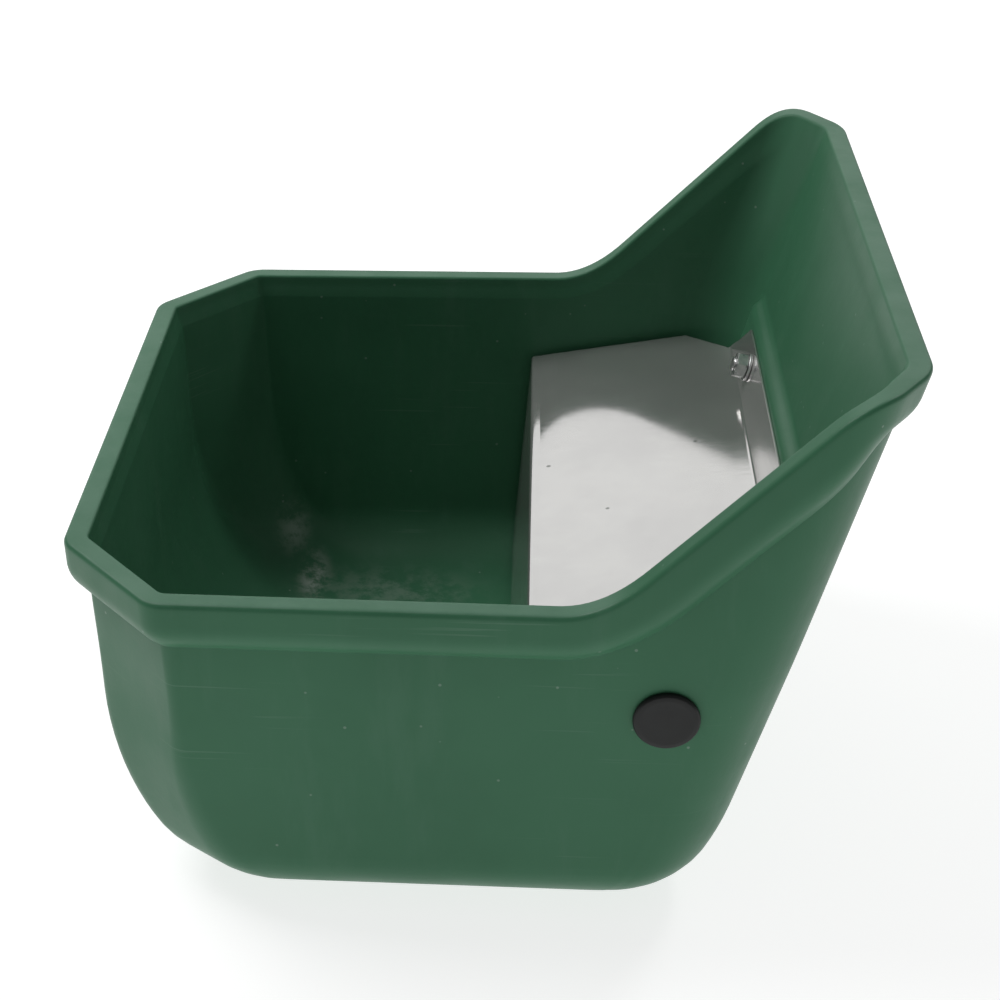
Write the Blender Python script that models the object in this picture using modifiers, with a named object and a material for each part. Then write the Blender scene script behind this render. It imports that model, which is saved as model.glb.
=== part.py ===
"""Float valve drinking trough: a moulded tank, a bent steel cover, two blanking plugs and a float valve.

Metres, +Z up.  The tank stands on z = 0 and is symmetric about y = 0.  -X is the front, where the
animal drinks, and +X is the tall back that goes against a wall.
"""
import math

import bmesh
import bpy
from mathutils import Matrix, Vector

# ---------------------------------------------------------------- driving dimensions
LENGTH = 0.4025               # front of the rim to its back, before its edges are rounded
HALF_WIDTH = 0.203            # rim, behind the start of the rise
FRONT_HALF_WIDTH = 0.1986     # rim, where the front chamfers end
RIM_Z = 0.192                 # top of the level part of the rim
CREST_Z = RIM_Z + 0.110       # top of the raised back
RISE_START = 0.2578           # distance from the front at which the rim starts to climb at 45 degrees
LOWER_BEND = 0.020            # half length of the soft bend at the foot of the rise
UPPER_BEND = 0.014            # half length of the soft bend at its head
FRONT_CHAMFER = (0.050, 0.057)        # legs of the front corners' chamfers, along the side and the front
FRONT_CHAMFER_LOW = (0.0405, 0.029)   # the same legs down at the floor
REAR_CHAMFER = (0.026, 0.038)         # legs of the rear corners' chamfers on the rim
REAR_ROUND = 0.0515                   # the wall's rear corners below the rim are nearly full rounds
FRONT_CORNER = 0.018                  # radius of the front chamfers' edges on the rim
FRONT_CORNER_GROWTH = 0.024           # how much larger that radius is at the floor
REAR_CORNER = 0.034                   # radius of the rear chamfers' edges on the rim
LEAST_CORNER = 0.004
SKIN = 0.005                  # wall thickness of the moulding
GAP = 0.0003                  # clearance between touching pieces

BAND_HEIGHT = 0.0275          # outer band of the rim
BAND_SHIFT = 0.0115           # the band's lower edge starts its climb this much later
BAND_PROUD = 0.009            # band beyond the wall below it
LIP_WIDTH = 0.012             # flat strip on top of the rim

WALL_TOP = RIM_Z - 0.041      # the side walls are upright above this height
CORNER_TOP = RIM_Z - 0.052    # height below which the vertical corners open out
FLOOR_BLEND = 3               # segments in each rounded corner of a section
CHAMFER_SHRINK = 2 - math.sqrt(2)    # how much a 45 degree chamfer's leg shortens per unit of inset
ROUND_SHARE = 0.92            # of the full round's radius, so that its two arcs never meet

# each wall: offset from the rim at a reference height, lean, and the fillet that meets the floor
FRONT_WALL = dict(offset=0.0107, at=RIM_Z - 0.034, lean=0.036, run=0.071, rise=0.105)
SIDE_WALL = dict(offset=BAND_PROUD, at=WALL_TOP, lean=0.063, run=0.051, rise=0.035)
REAR_WALL = dict(offset=0.0148, at=RIM_Z + 0.081, lean=0.273, run=0.027, rise=0.059)

REAR_TILT = math.atan(REAR_WALL["lean"])
SIDE_TILT = math.atan(SIDE_WALL["lean"])

# recess in the back wall, measured along the wall from the line of the cover's bolts
BOLT_Z = RIM_Z - 0.016
BOLT_Y = 0.094
RECESS_TOP = 0.0216
RECESS_BOTTOM = -0.075
RECESS_HALF_WIDTH = 0.158
RECESS_DEPTH = 0.006
RECESS_SLOPE = 0.009

# cover
SHEET = 0.0012
COVER_FRONT = 0.2239          # x of the front bend, from the front of the rim
COVER_FRONT_Z = RIM_Z - 0.050
COVER_FOOT = 0.2141           # x of the front panel's lower edge
COVER_FOOT_Z = 0.017
COVER_HALF_WIDTH = 0.184
COVER_CHAMFER_X = 0.319       # the top's rear corners are cut off behind this
COVER_STRAIGHT_Z = 0.046      # the front panel's sides follow the tank's fillet below this height
FLANGE_HALF_FOOT = 0.158
FLANGE_HALF_TOP = 0.124
FLANGE_TOP = 0.0112           # along the back wall from the bolt line
FLANGE_FOOT = -0.0168
SHEET_BEND = 0.0025

# fasteners
BOLT_R = 0.0039
WASHER_T = 0.0016
NUT_T = 0.0065
NUT_AF = 0.013
BOLT_END = 0.0015             # thread beyond the nut
BOLT_CLEARANCE = 0.0005       # round a bolt in the tank and the cover
CUP_R = 0.0078                # cup head, its height and its bolt's point
CUP_H = 0.0042
POINT = 0.0008
WASHER_BORE = 0.0043
WASHER_R = 0.008
BACK_WASHER_R = 0.009
NUT_BORE = 0.0042
NUT_BREAK = 0.0009            # how far the nuts' corner chamfers reach inside their flats

# blanking plugs
PLUG_HOLE_R = 0.0114
PLUG_HEAD_R = 0.016
PLUG_HEAD_T = 0.0032
PLUG_STEM_R = 0.011
PLUG_STEM = 0.013
PORT_X = 0.290
PORT_Z = RIM_Z - 0.0605
REAR_PLUG_Y = -0.130
REAR_PLUG_Z = RIM_Z - 0.118

# float valve, measured along its axis from the outer face of the side wall, negative inwards
SHANK_R = 0.0104
SHANK_CLEARANCE = 0.0004      # round the shank in the wall, gasket and washer
GASKET_R = 0.0165
GASKET_T = 0.003
VALVE_WASHER_T = 0.0015
LOCKNUT_AF = 0.030
LOCKNUT_T = 0.0065
VALVE_FLANGE_T = 0.0045
CHAMBER_END = -0.0130         # outer end of the plunger's chamber, where the inlet starts
SEAT_BORE_R = 0.0022
OUTLET_R = 0.0032             # outlet port in the chamber's underside, and its place
OUTLET_S = -0.026
SHANK_END = 0.026
VALVE_R = 0.013
VALVE_FLANGE_R = 0.016
VALVE_BORE_R = 0.0073
INLET_R = 0.0055
FORK_END = -0.070
FORK_START = -0.047
SEAT_FACE = -0.0222
PLUNGER_FACE = -0.0300
PLUNGER_TAIL = -0.0576
PIVOT_S = -0.062
PIVOT_DROP = 0.008
PIN_R = 0.002
HANG_ANGLE = math.radians(30)

# lever, rod and float, measured from the pivot along the arm
LEVER_T = 0.005
EYE_R = 0.0048                # round the pin, and at the lever's heel and its rod boss
HEEL_R = 0.0030
LINK_END = 0.018
LINK_END_R = 0.0040
BOSS_START = 0.013
BOSS_R = 0.0050
SOCKET_START = 0.016          # bottom of the rod's socket in the boss
BOSS_END = 0.026
ROD_R = 0.0025
ROD_START = 0.0165
ROD_END = 0.094
CRANK_FROM = 0.036            # the rod is cranked sideways between these two places
CRANK_TO = 0.058
CRANK = 0.019
LUG_X = 0.080
FLOAT_SIZE = (0.080, 0.042, 0.060)
FLOAT_TOP = -0.010
FLOAT_EDGE = 0.009
LUG_SIZE = (0.012, 0.022, 0.014)
LUG_MIDDLE = 0.005            # above the top of the float
SMALL_NUT_AF = 0.008
SMALL_NUT_T = 0.004

ROUND = 24                    # sides of a turned piece
OVERCUT = 0.001               # how far a cutter passes the face that it cuts
BOLT_REACH = 0.016            # a bolt hole's cutter, inwards from the back wall's outer face
PORT_REACH = 0.010            # the cutters of the plugs' and the valve's holes, either way from the wall

# ---------------------------------------------------------------- scene
for leftover in list(bpy.data.objects):
    bpy.data.objects.remove(leftover, do_unlink=True)

PARTS = bpy.data.collections.new("float_valve_trough")
TOOLS = bpy.data.collections.new("cutters")
bpy.context.scene.collection.children.link(PARTS)
bpy.context.scene.collection.children.link(TOOLS)


def material(name, colour, roughness, metallic=0.0):
    made = bpy.data.materials.new(name)
    made.use_nodes = True
    shader = made.node_tree.nodes["Principled BSDF"]
    shader.inputs["Base Color"].default_value = (*colour, 1.0)
    shader.inputs["Roughness"].default_value = roughness
    shader.inputs["Metallic"].default_value = metallic
    made.diffuse_color = (*colour, 1.0)
    return made


GREEN = material("green_polyethylene", (0.045, 0.145, 0.078), 0.45)
STAINLESS = material("satin_stainless", (0.62, 0.62, 0.60), 0.30, 1.0)
ZINC = material("bright_zinc", (0.80, 0.80, 0.80), 0.18, 1.0)
BLACK = material("black_plastic", (0.018, 0.018, 0.020), 0.45)
RUBBER = material("black_rubber", (0.022, 0.022, 0.022), 0.75)
BRASS = material("brass", (0.72, 0.52, 0.22), 0.32, 1.0)
NYLON = material("white_nylon", (0.78, 0.77, 0.72), 0.42)
FLOAT_PLASTIC = material("float_polyethylene", (0.70, 0.70, 0.66), 0.50)


# ---------------------------------------------------------------- building blocks
def add(name, data, surface=None, parent=None, matrix=None):
    """Put mesh or curve data into the scene as one named part."""
    made = bpy.data.objects.new(name, data)
    PARTS.objects.link(made)
    if surface is not None:
        data.materials.append(surface)
    if parent is not None:
        made.parent = parent
    if matrix is not None:
        made.matrix_local = matrix
    return made


def as_tool(made):
    """Turn an object into a hidden Boolean operand."""
    PARTS.objects.unlink(made)
    TOOLS.objects.link(made)
    made.hide_render = True
    made.display_type = 'WIRE'
    return made


def frame_at(name, place, turn):
    """An empty that carries a group of pieces; turn is a rotation matrix."""
    made = bpy.data.objects.new(name, None)
    PARTS.objects.link(made)
    made.matrix_world = Matrix.Translation(place) @ turn.to_4x4()
    return made


def mesh_from_bmesh(name, shape, smooth_below=None):
    bmesh.ops.recalc_face_normals(shape, faces=shape.faces)
    data = bpy.data.meshes.new(name)
    shape.to_mesh(data)
    shape.free()
    if smooth_below is not None:
        data.shade_smooth()
        data.set_sharp_from_angle(angle=math.radians(smooth_below))
    return data


def boolean(target, operand, operation='DIFFERENCE'):
    modifier = target.modifiers.new(operation.lower(), 'BOOLEAN')
    modifier.operation = operation
    modifier.solver = 'EXACT'
    modifier.object = operand
    return modifier


def turned(name, profile, surface=None, parent=None, closed=False, sides=ROUND):
    """A turned piece about local Z; profile is (radius, height), outer side from top to bottom."""
    shape = bmesh.new()
    points = [shape.verts.new((radius, 0.0, height)) for radius, height in profile]
    for first, second in zip(points, points[1:]):
        shape.edges.new((first, second))
    if closed:
        shape.edges.new((points[-1], points[0]))
    data = bpy.data.meshes.new(name)
    shape.to_mesh(data)
    shape.free()
    made = add(name, data, surface, parent)
    screw = made.modifiers.new("turn", 'SCREW')
    screw.axis = 'Z'
    screw.angle = math.tau
    screw.steps = sides
    screw.render_steps = sides
    screw.use_merge_vertices = True
    screw.merge_threshold = 0.00001
    screw.use_smooth_shade = True
    return made


def ring(name, inner, outer, top, bottom, surface, parent, bevel=0.0003):
    """A washer, gasket or sleeve with slightly broken outer edges."""
    profile = [(inner, top), (outer - bevel, top), (outer, top - bevel), (outer, bottom + bevel),
               (outer - bevel, bottom), (inner, bottom)]
    return turned(name, profile, surface, parent, closed=True)


def prism(name, sides, radius, bottom, top, surface=None, parent=None, turn=0.0):
    """A straight bar of regular section along local Z."""
    shape = bmesh.new()
    bmesh.ops.create_cone(shape, cap_ends=True, segments=sides, radius1=radius, radius2=radius,
                          depth=top - bottom,
                          matrix=Matrix.Translation((0, 0, (top + bottom) / 2)) @ Matrix.Rotation(turn, 4, 'Z'))
    return add(name, mesh_from_bmesh(name, shape), surface, parent)


def hex_nut(name, across_flats, bore, bottom, top, surface, parent, matrix=None):
    """A hexagon nut with chamfered corners and a plain bore."""
    corner = across_flats / 2 / math.cos(math.pi / 6)
    reach = corner * 1.15
    made = prism(name, 6, corner, bottom, top, surface, parent)
    cone = turned(name + "_chamfer", [(0.0, top + OVERCUT), (across_flats / 2 - NUT_BREAK, top + OVERCUT),
                                      (reach, top - (reach - across_flats / 2) * 0.5),
                                      (reach, bottom - OVERCUT), (0.0, bottom - OVERCUT)],
                  parent=parent)
    hole = prism(name + "_hole", ROUND, bore, bottom - 2 * OVERCUT, top + 2 * OVERCUT, parent=parent)
    if matrix is not None:
        for piece in (made, cone, hole):
            piece.matrix_local = matrix
    boolean(made, as_tool(cone), 'INTERSECT')
    boolean(made, as_tool(hole))
    return made


def cylinder_cut(target, name, radius, bottom, top, parent):
    boolean(target, as_tool(prism(name, ROUND, radius, bottom, top, parent=parent)))


# ---------------------------------------------------------------- tank
def ramp(x, start, half):
    """Zero before start, then a 45 degree line, with a soft bend between them."""
    if x <= start - half:
        return 0.0
    if x >= start + half:
        return x - start
    return (x - start + half) ** 2 / (4 * half)


def rim_top(x):
    """Height of the rim at distance x from the front."""
    height = CREST_Z - RIM_Z
    return RIM_Z + ramp(x, RISE_START, LOWER_BEND) - ramp(x, RISE_START + height, UPPER_BEND)


def wall_offset(wall, z, depth):
    """Distance from the rim's outline to a wall at height z; depth is 0 outside and SKIN inside."""
    below = max(0.0, wall["at"] - z) if wall is SIDE_WALL else wall["at"] - z
    offset = wall["offset"] + wall["lean"] * below + depth * math.hypot(1.0, wall["lean"])
    reach = min(1.0, max(0.0, wall["rise"] - z) / (wall["rise"] - depth))
    return offset + (wall["run"] - depth) * (1.0 - math.sqrt(1.0 - reach * reach))


def half_width_at(x):
    """Half width of the rim's outline."""
    along = min(1.0, (x - FRONT_CHAMFER[0]) / (RISE_START - FRONT_CHAMFER[0]))
    return FRONT_HALF_WIDTH + (HALF_WIDTH - FRONT_HALF_WIDTH) * along


def rounded(before, corner, after, radius, segments):
    """Points along an arc that rounds a corner."""
    into = (corner - before).normalized()
    out = (after - corner).normalized()
    turn = into.angle_signed(out, 0.0)
    trim = radius * math.tan(abs(turn) / 2)
    start = corner - into * trim
    side = Vector((-into.y, into.x)) if turn < 0 else Vector((into.y, -into.x))
    centre = start + side * radius
    spoke = start - centre
    points = []
    for step in range(segments + 1):
        angle = -turn * step / segments
        points.append(centre + Matrix.Rotation(angle, 2) @ spoke)
    return points


def corner_growth(z):
    """How far the vertical corners have opened out towards the floor, from 0 to 1."""
    low = min(1.0, max(0.0, 1.0 - z / CORNER_TOP))
    return low * low * (3 - 2 * low)


def half_outline(front, side, rear, inset, growth, stations, on_rim=False, segments=FLOOR_BLEND):
    """Half a section from the middle of the front to the middle of the back, as 2D points.

    front, side and rear are the three walls' distances in from the rim's outline; inset is how far
    the section is inside the rim, which shortens the chamfers; stations are fractions of the side;
    on_rim gives the rear corners the rim's chamfer in place of the wall's round.
    """
    short = CHAMFER_SHRINK * inset
    x0 = front
    x4 = LENGTH - rear
    leg_x = (FRONT_CHAMFER[0] - short) * (1.0 - growth) + FRONT_CHAMFER_LOW[0] * growth
    leg_y = (FRONT_CHAMFER[1] - short) * (1.0 - growth) + FRONT_CHAMFER_LOW[1] * growth
    cut_x = REAR_CHAMFER[0] - short if on_rim else CHAMFER_SHRINK * (REAR_ROUND - inset)
    cut_y = REAR_CHAMFER[1] - short if on_rim else cut_x
    y1 = half_width_at(x0 + leg_x) - side
    y3 = HALF_WIDTH - side
    nose = Vector((x0, 0.0))
    a = Vector((x0, y1 - leg_y))
    b = Vector((x0 + leg_x, y1))
    c = Vector((x4 - cut_x, y3))
    d = Vector((x4, y3 - cut_y))
    tail = Vector((x4, 0.0))
    front_radius = max(LEAST_CORNER, FRONT_CORNER - inset + FRONT_CORNER_GROWTH * growth)
    rear_radius = max(LEAST_CORNER, REAR_CORNER - inset) if on_rim else ROUND_SHARE * (REAR_ROUND - inset)
    points = [nose]
    points += rounded(nose, a, b, front_radius, segments)
    points += rounded(a, b, c, front_radius, segments)
    corner = rounded(b, c, d, rear_radius, segments)
    start = points[-1]
    for along in stations:
        x = start.x + (corner[0].x - start.x) * along
        points.append(Vector((x, half_width_at(x) - side)))
    points += corner
    points += rounded(c, d, tail, rear_radius, segments)
    points.append(tail)
    return points


def side_stations():
    """Fractions along the side that follow the two bends of the rim."""
    first = 0.058
    last = 0.365
    marks = [0.151, 0.235, 0.247, 0.259, 0.271, 0.283, 0.319, 0.355]
    return [(mark - first) / (last - first) for mark in marks]


def rim_row(inset, drop, stations, shift=0.0):
    """A row of the rim: inset from the outline, drop below the rim's top."""
    flat = half_outline(inset + FRONT_WALL["lean"] * drop, inset, inset + REAR_WALL["lean"] * drop, inset, 0.0,
                        stations, on_rim=True)
    return [Vector((p.x, p.y, rim_top(p.x - shift) - drop)) for p in flat]


def wall_row(height, rise, depth, stations):
    """A row of a wall: height at the bottom of the straight wall, rise from 0 there to 1 at the band."""
    ends = [rim_top(p.x - BAND_SHIFT) - BAND_HEIGHT
            for p in half_outline(BAND_PROUD, BAND_PROUD, REAR_WALL["offset"], BAND_PROUD, 0.0, stations)]
    row = []
    for index, end in enumerate(ends):
        z = height + (end - height) * rise
        flat = half_outline(wall_offset(FRONT_WALL, z, depth), wall_offset(SIDE_WALL, z, depth),
                            wall_offset(REAR_WALL, z, depth), BAND_PROUD + depth, corner_growth(z), stations)
        row.append(Vector((flat[index].x, flat[index].y, z)))
    return row


def tank_rows():
    """Rows from the floor outside, up over the rim and down to the floor inside."""
    stations = side_stations()
    low = FRONT_WALL["rise"]
    steps = [0.0, 0.010, 0.026, 0.055, 0.12, 0.21, 0.34, 0.50, 0.72]
    outside = [wall_row(low * step, 0.0, 0.0, stations) for step in steps]
    outside += [wall_row(low, 0.0, 0.0, stations)]
    outside += [wall_row(WALL_TOP, rise, 0.0, stations) for rise in (0.0, 1.0)]
    rim = [(0.0045, BAND_HEIGHT - 0.0030, BAND_SHIFT), (0.0015, BAND_HEIGHT - 0.0070, BAND_SHIFT),
           (0.0, BAND_HEIGHT - 0.0115, BAND_SHIFT), (0.0, 0.0050, 0.0), (0.0012, 0.0015, 0.0),
           (0.0045, 0.0, 0.0), (LIP_WIDTH - 0.003, 0.0, 0.0), (LIP_WIDTH - 0.0006, 0.0014, 0.0),
           (LIP_WIDTH, 0.0040, 0.0)]
    over = [rim_row(inset, drop, stations, shift) for inset, drop, shift in rim]
    inside = [wall_row(WALL_TOP, rise, SKIN, stations) for rise in (1.0, 0.0)]
    inside += [wall_row(low, 0.0, SKIN, stations)]
    inside += [wall_row(SKIN + (low - SKIN) * step, 0.0, SKIN, stations) for step in reversed(steps)]
    return outside + over + inside


def build_tank():
    """The moulded body: rows of points joined into one skin, with the recess and holes cut after."""
    shape = bmesh.new()
    loops = []
    for row in tank_rows():
        loop = [shape.verts.new((p.x - LENGTH / 2, p.y, p.z)) for p in row]
        loop += [shape.verts.new((p.x - LENGTH / 2, -p.y, p.z)) for p in reversed(row[1:-1])]
        loops.append(loop)
    for lower, upper in zip(loops, loops[1:]):
        for index in range(len(lower)):
            after = (index + 1) % len(lower)
            shape.faces.new((lower[index], lower[after], upper[after], upper[index]))
    shape.faces.new(loops[0])
    shape.faces.new(loops[-1])
    return add("tank", mesh_from_bmesh("tank", shape, 40), GREEN)


def recess_block(name, depth_start, depth_end, grow, parent):
    """A tapered block that sinks into the back wall; local Z is the wall's outward normal."""
    shape = bmesh.new()
    bmesh.ops.create_cube(shape, size=2.0)
    middle = (RECESS_TOP + RECESS_BOTTOM) / 2
    half_height = (RECESS_TOP - RECESS_BOTTOM) / 2
    slope = RECESS_SLOPE / RECESS_DEPTH
    for vert in shape.verts:
        depth = depth_end if vert.co.z < 0 else depth_start
        shrink = slope * depth - grow
        vert.co = Vector((vert.co.x * (half_height - shrink) - middle,
                          vert.co.y * (RECESS_HALF_WIDTH - shrink), -depth))
    return as_tool(add(name, mesh_from_bmesh(name, shape), parent=parent))


# ---------------------------------------------------------------- cover
def along_back(distance, depth):
    """Point of the back wall's section: distance up from the bolt line, depth inside the outer face."""
    foot_x = LENGTH - wall_offset(REAR_WALL, BOLT_Z, 0.0)
    return Vector((foot_x + distance * math.sin(REAR_TILT) - depth * math.cos(REAR_TILT),
                   BOLT_Z + distance * math.cos(REAR_TILT) + depth * math.sin(REAR_TILT)))


def cover_width_low(z):
    """Half width of the front panel, which follows the side walls and their floor fillet."""
    inside = half_width_at(COVER_FRONT) - wall_offset(SIDE_WALL, z, SKIN)
    at_bend = half_width_at(COVER_FRONT) - wall_offset(SIDE_WALL, COVER_FRONT_Z, SKIN)
    return COVER_HALF_WIDTH - (at_bend - inside)


def build_cover():
    """One sheet: a tall front panel, a sloping top and an upturned flange bolted to the back wall."""
    depth = SKIN + RECESS_DEPTH + GAP + SHEET
    foot = Vector((COVER_FOOT, COVER_FOOT_Z))
    front = Vector((COVER_FRONT, COVER_FRONT_Z))
    rear = along_back(FLANGE_FOOT, depth)
    top = along_back(FLANGE_TOP, depth)
    stations = []
    for step in range(7):
        height = COVER_FOOT_Z + (COVER_STRAIGHT_Z - COVER_FOOT_Z) * step / 6
        x = foot.x + (front.x - foot.x) * (height - foot.y) / (front.y - foot.y)
        stations.append((Vector((x, height)), cover_width_low(height)))
    bend = rounded(foot, front, rear, SHEET_BEND, 3)
    stations += [(p, COVER_HALF_WIDTH) for p in bend]
    on_top = (COVER_CHAMFER_X - front.x) / (rear.x - front.x)
    stations.append((front.lerp(rear, on_top), COVER_HALF_WIDTH))
    stations += [(p, FLANGE_HALF_FOOT) for p in rounded(front, rear, top, SHEET_BEND, 3)]
    stations.append((top, FLANGE_HALF_TOP))
    shape = bmesh.new()
    rows = []
    for point, half in stations:
        rows.append([shape.verts.new((point.x - LENGTH / 2, y, point.y)) for y in (-half, 0.0, half)])
    for lower, upper in zip(rows, rows[1:]):
        for column in range(2):
            shape.faces.new((lower[column], upper[column], upper[column + 1], lower[column + 1]))
    data = bpy.data.meshes.new("cover")
    shape.to_mesh(data)
    shape.free()
    made = add("cover", data, STAINLESS)
    thick = made.modifiers.new("sheet", 'SOLIDIFY')
    thick.thickness = SHEET
    thick.offset = -1.0
    thick.use_even_offset = True
    return made


# ---------------------------------------------------------------- fasteners and plugs
def build_cover_fixing(side, frame):
    """Cup head bolt from behind, with a washer under the head and a washer and nut on the flange."""
    floor = -RECESS_DEPTH
    face = -(SKIN + RECESS_DEPTH + GAP + SHEET)
    end = face - GAP - WASHER_T - GAP - NUT_T - BOLT_END
    head = floor + GAP + WASHER_T + GAP
    turned("cover_bolt_" + side,
           [(0.0, head + CUP_H), (0.38 * CUP_R, head + 0.95 * CUP_H), (0.74 * CUP_R, head + 0.71 * CUP_H),
            (0.96 * CUP_R, head + 0.24 * CUP_H), (CUP_R, head), (BOLT_R, head), (BOLT_R, end + POINT),
            (BOLT_R - POINT, end), (0.0, end)],
           ZINC, frame)
    back = floor + GAP
    ring("cover_back_washer_" + side, WASHER_BORE, BACK_WASHER_R, back + WASHER_T, back, ZINC, frame)
    ring("cover_washer_" + side, WASHER_BORE, WASHER_R, face - GAP, face - GAP - WASHER_T, ZINC, frame)
    nut_top = face - GAP - WASHER_T - GAP
    hex_nut("cover_nut_" + side, NUT_AF, NUT_BORE, nut_top - NUT_T, nut_top, ZINC, frame)


def build_plug(name, frame):
    """A push-in blanking plug: a flat head and a hollow stem."""
    bevel = 0.0009
    under = GAP
    head = under + PLUG_HEAD_T
    turned(name,
           [(0.0, head), (PLUG_HEAD_R - bevel * 2, head), (PLUG_HEAD_R - bevel * 0.6, head - bevel * 0.4),
            (PLUG_HEAD_R, head - bevel * 1.4), (PLUG_HEAD_R, under), (PLUG_STEM_R, under),
            (PLUG_STEM_R - 0.0004, -PLUG_STEM + 0.001), (PLUG_STEM_R - 0.0012, -PLUG_STEM),
            (PLUG_STEM_R - 0.0030, -PLUG_STEM), (PLUG_STEM_R - 0.0030, -0.001), (0.0, -0.001)],
           BLACK, frame, sides=36)


# ---------------------------------------------------------------- float valve
def build_valve(frame):
    """The parts that stay still; local Z runs out through the side wall, local Y points down."""
    inner = -SKIN
    gasket_end = inner - GAP - GASKET_T
    flange_top = gasket_end - GAP
    flange_end = flange_top - VALVE_FLANGE_T
    body = turned("valve_body",
                  [(SHANK_R - 0.0008, SHANK_END), (SHANK_R, SHANK_END - 0.0008), (SHANK_R, flange_top),
                   (VALVE_FLANGE_R, flange_top), (VALVE_FLANGE_R, flange_end), (VALVE_R, flange_end),
                   (VALVE_R, FORK_END + 0.001), (VALVE_R - 0.001, FORK_END), (VALVE_BORE_R, FORK_END),
                   (VALVE_BORE_R, CHAMBER_END), (INLET_R, CHAMBER_END), (INLET_R, SHANK_END)],
                  BRASS, frame, closed=True)
    slot = bmesh.new()
    bmesh.ops.create_cube(slot, size=1.0, matrix=Matrix.Translation((0, 0, (FORK_START + FORK_END) / 2 - 0.002))
                          @ Matrix.Diagonal((LEVER_T + 0.0012, 0.04, FORK_START - FORK_END + 0.004, 1.0)))
    boolean(body, as_tool(add("fork_slot", mesh_from_bmesh("fork_slot", slot), parent=frame)))
    port = prism("outlet_port", 16, OUTLET_R, -0.02, 0.0, parent=frame)
    port.matrix_local = Matrix.Translation((0, 0, OUTLET_S)) @ Matrix.Rotation(math.radians(90), 4, 'X')
    boolean(body, as_tool(port))
    across = Matrix.Translation((0, PIVOT_DROP, PIVOT_S)) @ Matrix.Rotation(math.radians(90), 4, 'Y')
    hole = prism("pin_hole", 16, PIN_R + GAP, -0.02, 0.02, parent=frame)
    hole.matrix_local = across
    boolean(body, as_tool(hole))

    ring("valve_gasket", SHANK_R + SHANK_CLEARANCE, GASKET_R, inner - GAP, gasket_end, RUBBER, frame)
    ring("valve_washer", SHANK_R + SHANK_CLEARANCE, GASKET_R, GAP + VALVE_WASHER_T, GAP, NYLON, frame)
    locknut = GAP + VALVE_WASHER_T + GAP
    hex_nut("valve_locknut", LOCKNUT_AF, SHANK_R + GAP, locknut, locknut + LOCKNUT_T, BRASS, frame)
    ring("valve_seat", SEAT_BORE_R, VALVE_BORE_R - GAP, CHAMBER_END - GAP, SEAT_FACE, NYLON, frame)

    pin = turned("pivot_pin", [(0.0, 0.0148), (0.0032, 0.0148), (0.0032, 0.0130), (PIN_R, 0.0130),
                               (PIN_R, -0.0148), (PIN_R - 0.0004, -0.0152), (0.0, -0.0152)], STAINLESS, frame)
    pin.matrix_local = across
    clip = ring("pivot_clip", PIN_R + GAP, 0.0040, -0.0130, -0.0137, ZINC, frame, bevel=0.0001)
    clip.matrix_local = across


def build_plunger(frame):
    """The sliding part; its empty sits on the valve's axis."""
    turned("plunger",
           [(0.0, PLUNGER_FACE), (0.0066, PLUNGER_FACE), (0.0070, PLUNGER_FACE - 0.0004),
            (0.0070, PLUNGER_FACE - 0.0154), (0.0066, PLUNGER_FACE - 0.0158), (0.0030, PLUNGER_FACE - 0.0158),
            (0.0030, PLUNGER_TAIL + 0.0006), (0.0024, PLUNGER_TAIL), (0.0, PLUNGER_TAIL)], NYLON, frame)
    turned("plunger_seal",
           [(0.0, PLUNGER_FACE + 0.0033), (0.0055, PLUNGER_FACE + 0.0033), (0.0058, PLUNGER_FACE + 0.0030),
            (0.0058, PLUNGER_FACE + GAP), (0.0, PLUNGER_FACE + GAP)], RUBBER, frame)


def capsule_plate(name, first, first_radius, second, second_radius, thickness, surface, parent):
    """A flat link around two circles, drawn as a 2D curve and extruded."""
    axis = (second - first).normalized()
    lean = math.acos((first_radius - second_radius) / (second - first).length)
    heading = math.atan2(axis.y, axis.x)
    steps = 10
    points = []
    for centre, radius, start, sweep in ((first, first_radius, heading + lean, math.tau - 2 * lean),
                                         (second, second_radius, heading - lean, 2 * lean)):
        for step in range(steps + 1):
            angle = start + sweep * step / steps
            points.append(centre + radius * Vector((math.cos(angle), math.sin(angle))))
    flat = bpy.data.curves.new(name, 'CURVE')
    flat.dimensions = '2D'
    flat.fill_mode = 'BOTH'
    flat.extrude = thickness / 2
    line = flat.splines.new('POLY')
    line.points.add(len(points) - 1)
    for target, point in zip(line.points, points):
        target.co = (point.x, point.y, 0.0, 1.0)
    line.use_cyclic_u = True
    return solid_from_curve(name, flat, surface, parent)


def solid_from_curve(name, curve, surface, parent):
    """Turn curve data into a welded mesh object."""
    source = add(name + "_curve", curve)
    bpy.context.view_layer.update()
    evaluated = source.evaluated_get(bpy.context.evaluated_depsgraph_get())
    data = bpy.data.meshes.new_from_object(evaluated)
    bpy.data.objects.remove(source)
    shape = bmesh.new()
    shape.from_mesh(data)
    bmesh.ops.remove_doubles(shape, verts=shape.verts, dist=0.000001)
    bpy.data.meshes.remove(data)
    data = mesh_from_bmesh(name, shape, 40)
    return add(name, data, surface, parent)


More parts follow.
